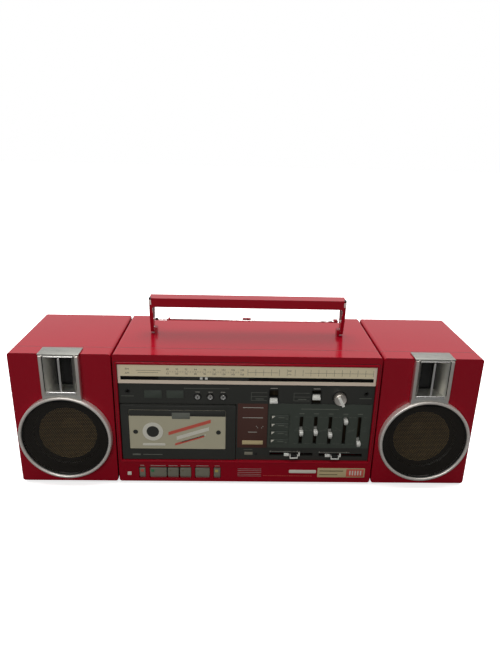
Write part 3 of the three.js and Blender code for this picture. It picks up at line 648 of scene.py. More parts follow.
WHITE_INK = Print("white_ink", "pale_knob", (0.85, 0.82, 0.70), 0.45)
SATIN_SILVER = Plating("satin_silver", "silver_trim", (0.92, 0.86, 0.79), 0.34)
RING_SILVER = Plating("ring_silver_paint", "silver_trim", (0.92, 0.86, 0.79), 0.3, metal=0.55)
HORN_PLATE = Plating("horn_plate_silver", "silver_trim", (0.32, 0.32, 0.29), 0.3, lines=0.05)
# Dark red for the seams, which are real parting lines, and for the painted groove shade round the
# fascia lip.
SEAM_AND_PAINTED_SHADE_RED = Moulding("seam_and_painted_groove_shade_red", "red_cabinet", (0.10, 0.006, 0.010), 0.5)
BRIGHT_SILVER = Plating("bright_silver", "silver_trim", (0.88, 0.87, 0.84), 0.14, lines=0.05)
ANTENNA_CHROME = Plating("antenna_chrome", "silver_trim", (0.88, 0.87, 0.86), 0.12,
                         (40.0, 1.0, 1.0), 0.05)
GOLD_PLATE = Print("champagne_plate", "cream_dial", (0.66, 0.53, 0.29), 0.4)
KEY_GREY = Moulding("key_metallic_grey", "grey_key", (0.235, 0.222, 0.168), 0.35, 0.08)
KEY_LIP = Plating("key_bright_lip", "grey_key", (0.80, 0.62, 0.54), 0.3)
# Pale knob plastic; also used for the white bars painted on the handle as highlights.
KNOB_AND_HIGHLIGHT_WHITE = Moulding("knob_and_painted_highlight_white", "pale_knob", (0.88, 0.87, 0.80), 0.25, 0.05)
KNOB_GREY = Moulding("knob_grey", "pale_knob", (0.42, 0.42, 0.38), 0.3, 0.05)
STEEL = Plating("pressed_steel", "steel", (0.52, 0.52, 0.50), 0.34)
BRASS = Plating("turned_brass", "brass_parts", (0.62, 0.43, 0.18), 0.26, (1.0, 60.0, 1.0))
WINDOW = SmokedPane("smoked_pane", "smoked_window", (0.72, 0.67, 0.48), 0.16)
GRILLE_BLACK = Moulding("grille_black", "mesh_black", (0.013, 0.010, 0.006), 0.5, 0.1)
HORN_SILVER = Plating("horn_cast_silver", "silver_trim", (0.84, 0.83, 0.78), 0.38,
                      (30.0, 30.0, 30.0), 0.35)
# Near-black used only for painted shade: behind the woofer grille, in the horn's slits and in its
# throat.
PAINTED_SHADE_BLACK = Moulding("painted_shade_black", "black_fascia", (0.004, 0.004, 0.004), 0.7)
BOARD = Laminate("circuit_laminate", "board", (0.030, 0.020, 0.008), 0.5)
RUBBER = Moulding("foot_rubber", "black_fascia", (0.02, 0.02, 0.02), 0.8, 0.5)


# ------------------------------------------------------------------ assemblies
SIDES = (-1, 1)
BODY_Z = (0.0, 173.0)           # underside and top of the three cabinets
FOOT_ROWS = (11.0, 129.0)       # the feet's places behind the cabinet front
SEAM_Y = 22.0                   # where the front frames meet the rear shells
INK = (0.06, 0.05)              # how far a printed layer stands before and behind its face
TUNING = (111.7, 119.6)         # x and z of the tuning knob
SCREW_HEAD = ((0, 0.5), (0.9, 0.5), (1.2, 1.3), (2.4, 1.1), (3.1, 0.4), (3.1, -0.3), (0, -0.3))
FOOT_PAD = ((0, -2.96), (4.2, -2.96), (4.6, -2.6), (4.6, -1.5), (0, -1.5))


def around(centre: float, half: float) -> Span:
    """Gives the span that reaches the same distance to both sides of a centre."""
    return centre - half, centre + half


def inked(face: float) -> Span:
    """Gives the depths of a printed layer on a face."""
    return face - INK[0], face + INK[1]


def seat(node: str) -> tuple[Array, Array, float, float]:
    """Gives a node's lowest corner, its highest corner, and the x and z of its middle."""
    low, high = box_mm(node)
    return low, high, (low[0] + high[0]) / 2, (low[2] + high[2]) / 2


def finish_piece(piece: bpy.types.Object, look: Finish, body: str,
                 replaces: Sequence[str] = ()) -> bpy.types.Object:
    """Gives a new piece its material and the body it moves with, and logs it.

    Args:
        piece: the object.
        look: its finish.
        body: the body it rides on.
        replaces: nodes that it stands for.

    Returns:
        The same object.
    """
    piece.data.materials.clear()
    piece.data.materials.append(look.material())
    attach(piece, body)
    if replaces:
        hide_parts(*replaces)
    log.info("%-28s rides on %-20s %s", piece.name, body, look.name)
    return piece


def make(name: str, shape: Surface | list[Surface], look: Finish, body: str = "cabinet",
         replaces: Sequence[str] = (), sharp_deg: float = 35.0) -> bpy.types.Object:
    """Makes a piece from one surface, or from a list of them, and finishes it."""
    points, faces = joined(shape) if isinstance(shape, list) else shape
    return finish_piece(mesh_object(name, points, faces, sharp_deg), look, body, replaces)


def ease(node: str, name: str, width: float, look: Finish, body: str = "cabinet",
         segments: int = 3) -> bpy.types.Object:
    """Stands an eased copy in for a node and finishes it."""
    return finish_piece(softened(node, name, width, segments), look, body, [node])


def hoop(profile: Profile, centre: Sequence[float], segments: int = 32,
         axis: Axis = Axis.Y) -> Surface:
    """A ring turned from a closed profile that stays off the axis."""
    return turned(profile, centre, axis, segments, ring=True)


def seam(x: Span) -> Surface:
    """A dark line round a cabinet where its front frame meets its rear shell."""
    wide, proud, deep = 0.42, 0.03, -0.6

    def loop(grow: float, depth: float) -> Array:
        """One loop round the cabinet, grown past its skin."""
        return flat_loop(rounded_outline((x[0] - grow, x[1] + grow),
                                         (BODY_Z[0] - grow, BODY_Z[1] + grow), 3.0), depth)

    front, back = around(SEAM_Y, wide)
    return skin(np.stack([loop(proud, front), loop(proud, back), loop(deep, back),
                          loop(deep, front)]), ring=True)


def screws(columns: Sequence[float], back: float, rows: Sequence[float]) -> list[Surface]:
    """Domed screw heads with sunk middles, facing the back, at each column and row."""
    return [turned(SCREW_HEAD, (x, back, z), segments=28) for x in columns for z in rows]


def foot_pads(columns: Sequence[float]) -> list[Surface]:
    """Thin rubber pads let into the underside of the feet in each column."""
    return [turned(FOOT_PAD, (x, y, 0), Axis.Z, 32) for x in columns for y in FOOT_ROWS]


@dataclass
class CentreCabinet:
    """Red mouldings of the centre unit, its badges and stripes, and its rear fittings."""

    half_width: float = 159.0
    lip_x: Span = (-157.0, 157.0)
    lip_z: Span = (28.2, 164.2)
    badge_x: Span = (55.0, 89.5)
    badge_z: Span = (13.6, 18.2)
    label_x: Span = (91.3, 151.8)
    label_z: Span = (7.8, 21.3)
    label_split: float = 128.0
    stripes_x: Span = (-10.0, 19.8)
    stripes_z: Span = (8.5, 19.0)
    plate_y: Span = (-0.7, 0.1)
    skin_y: Span = (-0.25, 0.1)
    screw_rows: Span = (14.0, 158.0)
    screw_reach: float = 145.0
    jack_reach: float = 118.0
    foot_reach: float = 143.0
    back: float = field(init=False)

    def __post_init__(self) -> None:
        """Takes the back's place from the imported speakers, which are as deep."""
        self.back = box_mm("left_speaker_shell")[1][1]

    def build(self) -> None:
        """Builds the mouldings, then what is fixed to them."""
        ease("main_front_frame", "front_frame_moulding", 0.8, CABINET_RED)
        ease("main_rear_shell", "rear_shell_moulding", 0.8, CABINET_RED)
        ease("battery_cover", "battery_cover_moulding", 0.5, CABINET_RED, "battery_cover")
        make("cabinet_seam", seam((-self.half_width, self.half_width)), SEAM_AND_PAINTED_SHADE_RED)
        make("fascia_lip", rim(self.lip_x, self.lip_z, (-2.1, 0.3), 3.0, 3.2, 1.4), CABINET_RED)
        # A flat dark-red band round the lip, just proud of the face: painted shade standing for the
        # shadow in a groove.
        painted_groove_shade_x = (self.lip_x[0] - 0.7, self.lip_x[1] + 0.7)
        painted_groove_shade_z = (self.lip_z[0] - 0.7, self.lip_z[1] + 0.9)
        make("fascia_lip_painted_groove_shade", rim(painted_groove_shade_x, painted_groove_shade_z, (-0.04, 0.2), 1.0, 3.6, 0.02), SEAM_AND_PAINTED_SHADE_RED)
        self.build_badges()
        self.build_label()
        self.build_rear()
        self.build_battery_ribs()
        make("centre_foot_pads", foot_pads((-self.foot_reach, self.foot_reach)), RUBBER)

    def build_badges(self) -> None:
        """Plain plates and stripes on the lower strip, without any lettering."""
        make("name_bar", plate(self.badge_x, self.badge_z, self.plate_y, 1.2, 0.25), WHITE_INK)
        make("corner_badge", plate((-148.6, -143.6), (8.9, 13.8), self.plate_y, 0.6, 0.25),
             WHITE_INK)
        lines = [(self.stripes_x, around(z, 0.35)) for z in np.linspace(*self.stripes_z, 5)]
        make("model_stripes", bars(lines, self.skin_y), SATIN_SILVER)

    def build_label(self) -> None:
        """A two-coloured plate with plain bars, and a row of small marks."""
        left, split = self.label_x[0], self.label_split
        inner = (self.label_z[0] + 1.2, self.label_z[1] - 1.2)
        make("label_plate", plate(self.label_x, self.label_z, (-0.6, 0.1), 0.8, 0.25), GOLD_PLATE)
        make("label_block", plate((split, self.label_x[1] - 1.3), inner, (-0.75, -0.5), 0.5, 0.1),
             RED_INK)
        posts = [((split + 4 + 3.4 * k, split + 5.6 + 3.4 * k), (inner[0] + 2.2, inner[1] - 2.2))
                 for k in range(5)]
        make("label_block_bars", bars(posts, (-0.85, -0.7)), WHITE_INK)
        rows = [((left + 2.5, split - 4), (16.6, 17.9)), ((left + 2.5, split - 11), (11.4, 12.4))]
        make("label_bars", bars(rows, (-0.72, -0.55)), DARK_INK)
        marks = [((22.5 + 3.0 * k, 24.3 + 3.0 * k), (8.9, 9.6)) for k in range(21)]
        make("strip_marks", bars(marks, self.skin_y), RED_INK)

    def build_rear(self) -> None:
        """Screws, jack bushes, inlet pins, a blank rating plate and louvres on the back."""
        back = self.back
        columns = (-self.screw_reach, self.screw_reach)
        make("rear_screws", screws(columns, back, self.screw_rows), STEEL)
        bush = [(1.9, 0.1), (4.0, 0.1), (4.0, 1.0), (3.5, 1.4), (1.9, 1.4)]
        make("speaker_jack_bushes", [hoop(bush, (side * self.jack_reach, back, z))
                                     for side in SIDES for z in (82.0, 96.0)], BRIGHT_SILVER)
        pin = [(0, -12.5), (1.1, -12.5), (1.1, -3.6), (0.7, -3.0), (0, -3.0)]
        make("mains_inlet_pins", [turned(pin, (-132.0 + dx, back, 20.0), segments=20)
                                  for dx in (-4, 4)], BRIGHT_SILVER)
        make("rating_plate", plate((60, 104), (92, 112), (back - 0.05, back + 0.5), 1.0, 0.15),
             SATIN_SILVER)
        make("rear_louvres", [rounded_box((-70, back - 0.4, z), (40, back + 0.9, z + 1.8), 0.6)
                              for z in np.arange(96, 128, 4.0)], CABINET_RED)

    def build_battery_ribs(self) -> None:
        """Upright finger ribs across the battery cover."""
        z = middle("battery_cover")[2]
        ribs = [rounded_box((x, self.back - 0.6, z - 22), (x + 1.6, self.back + 0.5, z + 14), 0.5)
                for x in np.arange(-80, 80, 8.0)]
        make("battery_cover_ribs", ribs, CABINET_RED, "battery_cover")


@dataclass
class Dial:
    """The tuning scale behind the lip, its slot, pointer and lamps."""

    face: float = 1.0
    border: float = 3.2
    figures_low: tuple[str, ...] = ("53", "60", "70", "80", "90", "100", "120", "140", "160")
    figures_high: tuple[str, ...] = ("88", "90", "92", "94", "96", "98", "102", "106", "108")
    figure_span: Span = (-95.0, -7.0)
    tick_span: Span = (0.0, 150.5)
    tick_step: float = 9.36
    fine_step: float = 1.95
    slot_z: Span = (140.7, 145.2)
    slot_back: float = 6.8
    lamps: Span = (99.5, 104.3)

    def build(self) -> None:
        """Builds the panel, its border and print, its slot and the pointer."""
        ease("dial_panel", "dial_panel_moulding", 0.25, DIAL_CREAM, segments=2)
        self.build_border()
        self.build_scale()
        self.build_slot()
        self.build_pointer()

    def build_border(self) -> None:
        """A pale band down both sides of the panel and along its foot."""
        low, high = box_mm("dial_panel")
        half = high[0] - 1.9
        z_low, z_high = low[2] + 0.15, high[2] - 2.2
        inner = half - self.border
        edges = [((-half + 0.2, -inner), (z_low, z_high)), ((inner, half - 0.2), (z_low, z_high)),
                 ((-inner + 0.01, inner - 0.01), (z_low, self.slot_z[0] - 0.3))]
        make("dial_border", bars(edges, (self.face - 0.12, self.face + 0.1)), DIAL_BORDER)

    def build_scale(self) -> None:
        """Long ticks, fine ticks, rules and figures."""
        tall = np.arange(*self.tick_span, self.tick_step)
        fine = np.arange(*self.figure_span, self.fine_step)
        ticks = [(around(x, 0.16), (147.8, 156.2)) for x in tall]
        ticks += [(around(x, 0.14), (150.6, 152.6)) for x in fine]
        ticks += [((self.tick_span[0], 36.0), (151.7, 152.0)), ((68.0, 150.0), (151.7, 152.0)),
                  ((-132.0, -103.0), (152.6, 153.0)), ((-130.0, -106.0), (150.0, 150.4))]
        make("dial_ticks", bars(ticks, inked(self.face)), DARK_INK)
        rows = [("540", 49.5, 154.2, 2.8), ("kHz", 49.5, 150.0, 2.6)]
        for texts, z in ((self.figures_high, 154.6), (self.figures_low, 148.9)):
            rows += [(text, x, z, 3.3)
                     for text, x in zip(texts, np.linspace(*self.figure_span, len(texts)))]
        rows += [("FM", -142.5, 154.2, 3.6), ("AM", -142.5, 149.2, 3.6)]
        finish_piece(figures("dial_figures", rows, self.face - 0.02), DARK_INK, "cabinet")

    def build_slot(self) -> None:
        """The pointer's slot: a thin liner, a dark back and two lamps in front of it."""
        low, high = self.slot_z
        liner = [((-151.8, 151.8), (low - 0.02, low + 0.14)),
                 ((-151.8, 151.8), (high - 0.14, high + 0.02))]
        make("dial_slot_liner", bars(liner, (self.face - 0.05, 3.8)), SOFT_BLACK)
        wall = rounded_box((-152.5, self.slot_back, 139.5), (152.5, self.slot_back + 0.6, 149.5),
                           0.2, 1)
        make("dial_slot_back", wall, SOFT_BLACK)
        lamp = [(0, -0.6), (0.7, -0.4), (1.0, 0.1), (1.0, 1.0), (0, 1.0)]
        make("tuning_lamps", [turned(lamp, (x, self.slot_back + 0.5, 141.9), segments=20)
                              for x in self.lamps], PALE_INK)

    def build_pointer(self) -> None:
        """The dark pointer bar with its two pale marks."""
        ease("dial_pointer", "pointer_bar", 0.2, FASCIA_BLACK, "dial_pointer", 2)
        centre = middle("dial_pointer")[0]
        z_low, z_high = self.slot_z[0] + 0.8, self.slot_z[1] - 0.9
        make("pointer_marks", [rounded_box((centre + d - 1.6, 1.55, z_low),
                                           (centre + d + 1.6, 1.95, z_high), 0.2, 2)
                               for d in (-3, 3)], KNOB_AND_HIGHLIGHT_WHITE, "dial_pointer")


@dataclass
class Fascia:
    """The black control panel, the equalizer plate and everything printed on them."""

    face: float = 2.0
    plate_face: float = 1.2
    brown_x: Span = (-11.4, 25.4)
    brown_z: Span = (49.0, 110.2)
    brown_face: float = 1.65
    jacks: tuple[tuple[str, float, float], ...] = (("left", -143.3, 125.0), ("right", 144.1, 124.8))
    boxes: tuple[Span, ...] = ((-124.4, -102.0), (-97.9, -75.9))
    switches: Span = (32.0, 83.6)
    modes: tuple[float, ...] = (-59.8, -44.45, -29.1)
    slots: tuple[float, ...] = (67.2, 84.9, 103.0, 121.1, 139.1)

    def build(self) -> None:
        """Builds the panels, then the small fittings and the printed marks."""
        ease("control_panel", "control_panel_moulding", 0.25, FASCIA_BLACK, segments=2)
        ease("equalizer_plate", "equalizer_plate_pressing", 0.15, PLATE_GREEN, segments=2)
        self.build_plates()
        self.build_wells()
        self.build_indicators()
        self.build_print()
        self.build_brown_print()
        self.build_equalizer_print()

    def build_plates(self) -> None:
        """Tinted panel, champagne bar, small button and the well of a lamp."""
        rows = (("tinted_panel", self.brown_x, self.brown_z, 0.35, 0.2, 0.6, 0.12, TINTED_BROWN),
                ("champagne_bar", (-5.1, 20.6), (53.7, 59.2), 0.7, 0.0, 0.4, 0.2, GOLD_PLATE),
                ("noise_button", (-2.0, 8.3), (38.8, 42.6), 0.9, 0.2, 0.5, 0.3, KEY_GREY),
                ("lamp_well", (10.6, 14.2), (38.2, 41.8), 0.2, 0.2, 0.4, 0.1, SOFT_BLACK))
        for name, x, z, proud, sunk, radius, edge, look in rows:
            make(name, plate(x, z, (self.face - proud, self.face + sunk), radius, edge), look)

    def build_wells(self) -> None:
        """Dark collars round the two jacks and the tuning knob."""
        bush = [(1.9, 0.2), (3.1, 0.2), (3.1, -0.4), (2.7, -0.8), (1.9, -0.6)]
        for side, x, z in self.jacks:
            make(f"{side}_jack_bush", hoop(bush, (x, self.face, z), 36), SOFT_BLACK)
        x, z = TUNING
        well = [(7.9, 0.9), (8.9, 0.9), (8.9, -0.5), (8.5, -0.7), (7.9, -0.4)]
        make("tuning_well", hoop(well, (x, self.face, z), 56), SOFT_BLACK)

    def build_indicators(self) -> None:
        """Two framed windows, and the frames round the lever switches' slots."""
        frame_y = (self.face - 0.5, self.face + 0.2)
        make("indicator_rims", [rim(x, (115.7, 127.3), frame_y, 0.5, 0.6, 0.12)
                                for x in self.boxes], FASCIA_BLACK)
        pane_y = (self.face - 0.2, self.face + 0.1)
        make("indicator_panes", [plate((a + 0.7, b - 0.7), (116.4, 126.6), pane_y, 0.4, 0.08)
                                 for a, b in self.boxes], PLATE_GREEN)
        guide_y = (self.face - 0.45, self.face + 0.2)
        make("switch_guides", [rim(around(x, 6.1), (110.7, 129.2), guide_y, 0.6, 0.5, 0.12)
                               for x in self.switches], SOFT_BLACK)

    def build_print(self) -> None:
        """Generic marks on the black panel: pale ones for labels, faint ones for lines."""
        pale, faint = [], []
        for a, b in self.boxes:
            pale.append(((a + 3, a + 13), (117.6, 118.6)))
            faint.append(((b - 7, b - 2), (123.4, 124.4)))
        pale += [(around(x, 2.6), (124.6, 125.2)) for x in self.modes]
        faint += [((-76.0, -22.0), (129.4, 129.9)), ((-151.0, -136.0), (118.4, 119.0)),
                  ((136.0, 151.0), (118.4, 119.0))]
        for x in self.switches:
            faint += [((x - 27, x - 8), (z, z + 0.4)) for z in (114.4, 119.6, 124.8)]
            faint += [((x - 27.4, x - 27), (114.4, 125.2)), ((x - 22, x - 12), (116.2, 117.0))]
            pale.append((around(x, 4.2), (130.6, 131.3)))
        faint += self.brown_rules
        faint += [((3.0, 14.0), (72.0, 73.0)), ((-3.0, 8.0), (45.6, 46.2))]
        for x0, x1, z in ((29.7, 83.9, 43.4), (91.7, 146.5, 42.8)):
            pale.append(((x0, x1 - 16), (z, z + 0.3)))
            pale += [((x0 + d, x0 + d + 1.4), (z - 0.3, z + 0.9)) for d in (0, 34)]
        make("fascia_pale_print", bars(pale, inked(self.face)), PALE_INK)
        make("fascia_faint_print", bars(faint, inked(self.face)), FAINT_INK)

    @property
    def brown_rules(self) -> list[tuple[Span, Span]]:
        """The two rules across the tinted panel."""
        return [((-5.0, 20.0), (z, z + 0.9)) for z in (104.4, 90.6)]

    def build_brown_print(self) -> None:
        """Rules and a broken ring of dots on the tinted panel."""
        level = inked(self.brown_face)
        rules = self.brown_rules + [((2.0, 13.0), (70.6, 71.5))]
        make("tinted_panel_print", bars(rules, level), PALE_INK)
        x, z, reach = 16.1, 80.6, 4.2
        dots = [(around(x + reach * math.cos(a), 0.5), around(z + reach * math.sin(a), 0.5))
                for a in np.radians([200, 235, 305, 340])]
        make("tinted_panel_dots", bars(dots, level), PALE_INK)

    def build_equalizer_print(self) -> None:
        """Short rules beside each slot, a mark above it, and a curve across them all."""
        level = inked(self.plate_face)
        rules = [(around(x + side * 6.5, 2), (z, z + 0.25))
                 for x in self.slots for side in SIDES for z in (55.6, 74.3, 93.0)]
        heads = [(around(x, 3), (97.2, 98.1)) for x in self.slots]
        title = [((66.0, 112.0), (103.6, 104.4))]
        make("equalizer_print", bars(rules + heads + title, level), FAINT_INK)
        make("equalizer_curve", self.curve(level), FAINT_INK)

    def curve(self, y: Span) -> Surface:
        """A thin wavy line across the slots: a sine of the distance along X."""
        clear, half = 4.2, 0.12
        x = np.linspace(60, 146, 80)
        z = 76 + 4.0 * np.sin((x - x[0]) / 17.9 * math.pi)
        return bars([((x[k], x[k + 1]), around(z[k], half)) for k in range(len(x) - 1)
                     if np.abs(x[k] - np.array(self.slots)).min() > clear], y)


@dataclass
class Controls:
    """Keys, buttons, sliders, switches and the tuning knob."""

    transport: tuple[tuple[str, Finish | None], ...] = (
        ("record_key", RED_INK), ("play_key", GREEN_INK), ("rewind_key", None),
        ("forward_key", None), ("stop_key", None), ("pause_key", YELLOW_INK))
    panel_face: float = 2.0
    bar_turn: float = 28.0
    flutes: int = 24

    def build(self) -> None:
        """Builds every control in turn."""
        for name, mark in self.transport:
            self.build_key(name, mark)
        for build, stem, count in ((self.build_mode_button, "mode_button", 3),
                                   (self.build_band_button, "band_button", 4),
                                   (self.build_equalizer_slider, "equalizer_slider", 5)):
            for k in range(1, count + 1):
                build(f"{stem}_{k}")
        for name in ("volume_slider", "balance_slider"):
            self.build_level_slider(name)
        for name in ("function_switch", "mode_switch"):
            self.build_switch(name)
        self.build_tuning_knob()

    def build_key(self, name: str, mark: Finish | None) -> None:
        """A metallic cap with a bright lower lip, its stem, and a coloured mark or a small tick."""
        low, high, x, z = seat(name)
        front = low[1]
        cap = rounded_box((low[0], front, low[2] + 2.4), (high[0], front + 11.2, high[2]), 0.7)
        stem = rounded_box((x - 1.5, front + 10, z - 1.5), (x + 1.5, high[1], z + 1.5), 0.3, 1)
        make(name + "_cap", [cap, stem], KEY_GREY, name, [name])
        lip = rounded_box((low[0] + 0.2, front + 0.5, low[2]),
                          (high[0] - 0.2, front + 8, low[2] + 2.9), 0.6)
        make(name + "_lip", lip, KEY_LIP, name)
        row = high[2] - 3.6
        if mark:
            shape = plate((low[0] + 1.4, low[0] + 5.4), around(row, 1.9),
                          (front - 0.12, front + 0.2), 0.4, 0.08)
        else:
            shape = bars([((low[0] + 2.2, low[0] + 4.6), around(row, 0.4))],
                         (front - 0.05, front + 0.1))
        make(name + "_mark", shape, mark or DARK_INK, name)
        legend = [((low[0] + 1.2, high[0] - 1.2), (22.6, 23.3))]
        make(name + "_legend", bars(legend, inked(0.0)), PALE_INK)

    def build_mode_button(self, name: str) -> None:
        """A dished silver button with a rounded shoulder, in a dark collar."""
        low, high, x, z = seat(name)
        depth = high[1] - low[1]
        cap = [(0, 0.5), (1.6, 0.35), (2.5, 0.0), (3.0, 0.15), (3.3, 0.6), (3.3, depth - 3.1),
               (4.5, depth - 3), (4.5, depth - 1.3), (3.3, depth - 1.2), (3.3, depth), (0, depth)]
        make(name + "_cap", turned(cap, (x, low[1], z), segments=40), BRIGHT_SILVER, name, [name])
        pip = [(0, -0.1), (0.7, -0.1), (0.9, 0.3), (0, 0.6)]
        make(name + "_pip", turned(pip, (x, low[1] + 0.2, z), segments=16), SOFT_BLACK, name)
        well = [(3.75, 0.2), (4.8, 0.2), (4.8, -0.3), (4.5, -0.5), (3.75, -0.4)]
        make(name + "_well", hoop(well, (x, self.panel_face, z), 40), SOFT_BLACK)

    def build_band_button(self, name: str) -> None:
        """A flat dark key with a pale corner triangle and two small printed bars."""
        low, high, _, z = seat(name)
        make(name + "_cap", rounded_box(low, high, 0.5), PLATE_GREEN, name, [name])
        left, top = low[0] + 1.2, high[2] - 1.0
        corner = np.array([[left, top], [left, top - 3.6], [left + 4.0, top]])
        make(name + "_mark", skin(np.stack([flat_loop(corner, y) for y in around(low[1], 0.1)])),
             WHITE_INK, name)
        marks = [((low[0] + 9, high[0] - 6), (z, z + 0.8)),
                 ((high[0] - 4, high[0] - 1.5), (low[2] + 1.5, low[2] + 2.2))]
        make(name + "_print", bars(marks, (low[1] - 0.05, low[1] + 0.1)), FAINT_INK, name)

    def carriage(self, name: str, stem: float, start: float, reach: float) -> list[Surface]:
        """A slider's hidden part: a stem through the slot and a block behind the panel.

        Args:
            name: the slider's node.
            stem: half of the stem's width.
            start: how far behind the grip's front the stem starts.
            reach: half of the block's width.

        Returns:
            The two surfaces.
        """
        low, (_, back, top), x, z = seat(name)
        start += low[1]
        return [rounded_box((x - stem, start, z - 1.5), (x + stem, back - 2, z + 1.5), 0.2, 1),
                rounded_box((x - reach, back - 3, low[2]), (x + reach, back, top), 0.4, 2)]

    def build_equalizer_slider(self, name: str) -> None:
        """A slim white cap with a grey skirt, on a stem and carriage behind the plate."""
        low, _, x, z = seat(name)
        front, back = low[1], low[1] + 6.8
        make(name + "_cap", rounded_box((x - 2.4, front, z - 0.6), (x + 2.4, back, z + 3.1), 0.7),
             KNOB_AND_HIGHLIGHT_WHITE, name, [name])
        skirt = rounded_box((x - 2.1, front + 0.6, z - 3.1), (x + 2.1, back, z - 0.2), 0.6)
        make(name + "_skirt", [skirt, *self.carriage(name, 1.7, 6, 4)], KNOB_GREY, name)

    def build_level_slider(self, name: str) -> None:
        """A black bridge outlined in white between a long and a short pale block."""
        low, high, _, z = seat(name)
        front, back = low[1], self.panel_face - 0.2
        left, right = low[0] + 7.2, high[0] - 2.6
        blocks = [rounded_box((low[0], front + 2.2, z - 1.3), (low[0] + 6.2, back, z + 2.0), 0.5),
                  rounded_box((high[0] - 1.9, front + 2.0, z - 1.2), (high[0], back, z + 3.0), 0.5)]
        make(name + "_blocks", blocks, KNOB_AND_HIGHLIGHT_WHITE, name)
        grip = rounded_box((left + 0.8, front + 0.6, z - 2.2), (right - 0.8, back, z + 1.4), 0.5)
        spine = rounded_box((low[0] + 1, back - 1.0, z - 0.8), (high[0] - 1, back - 0.1, z + 0.8),
                            0.3, 2)
        make(name + "_grip", [grip, spine, *self.carriage(name, 2, 4, 5)], SOFT_BLACK, name, [name])
        outline = [rounded_box((left, front, z - 3.4), (right, front + 2.6, z - 2.0), 0.5)]
        outline += [rounded_box((a, front, z - 3.2), (a + 1.1, back, z + 1.0), 0.4)
                    for a in (left, right - 1.1)]
        make(name + "_outline", outline, KNOB_AND_HIGHLIGHT_WHITE, name)

    def build_switch(self, name: str) -> None:
        """A lever switch: a pale stepped cap on a hidden carriage."""
        low, high, x, z = seat(name)
        front, back = low[1], low[1] + 6
        make(name + "_cap", [
            rounded_box((x - 4.9, front + 0.5, z - 2.9), (x + 4.9, back, z + 0.4), 0.7),
            rounded_box((x - 4.6, front + 2.4, z - 0.4), (x + 4.6, back, z + 2.9), 0.9)],
            KNOB_AND_HIGHLIGHT_WHITE, name, [name])
        make(name + "_carriage", rounded_box((low[0], high[1] - 4.0, low[2]), high, 0.4, 2),
             SOFT_BLACK, name)

    def build_tuning_knob(self) -> None:
        """A silver disc with a knurled rim and a raised finger bar across its face."""
        node = "tuning_knob"
        low, high = box_mm(node)
        (x, z), front = TUNING, low[1] + 1.0
        depth = high[1] - front
        disc = [(0, 0.9), (4.6, 0.8), (5.8, 0.3), (6.6, 0.0), (7.1, 0.35), (7.3, 1.0), (7.4, 7.6),
                (2.8, 7.7), (2.8, depth), (0, depth)]
        make("tuning_knob_disc", turned(disc, (x, front, z), segments=72), SATIN_SILVER, node,
             [node])
        angles = np.linspace(0, 2 * math.pi, self.flutes, endpoint=False)
        reach = 7.3
        spots = [(x + reach * math.cos(a), z + reach * math.sin(a)) for a in angles]
        flutes = [rounded_box((cx - 0.25, front + 1.2, cz - 0.25),
                              (cx + 0.25, front + 7.2, cz + 0.25), 0.2, 1) for cx, cz in spots]
        make("tuning_knob_flutes", flutes, SATIN_SILVER, node)
        bar = rounded_box((-1.8, -0.9, -9.6), (1.8, 1.6, 4.4), 0.8)
        make("tuning_knob_bar", swung(bar, self.bar_turn, (x, front, z)), KNOB_AND_HIGHLIGHT_WHITE, node)


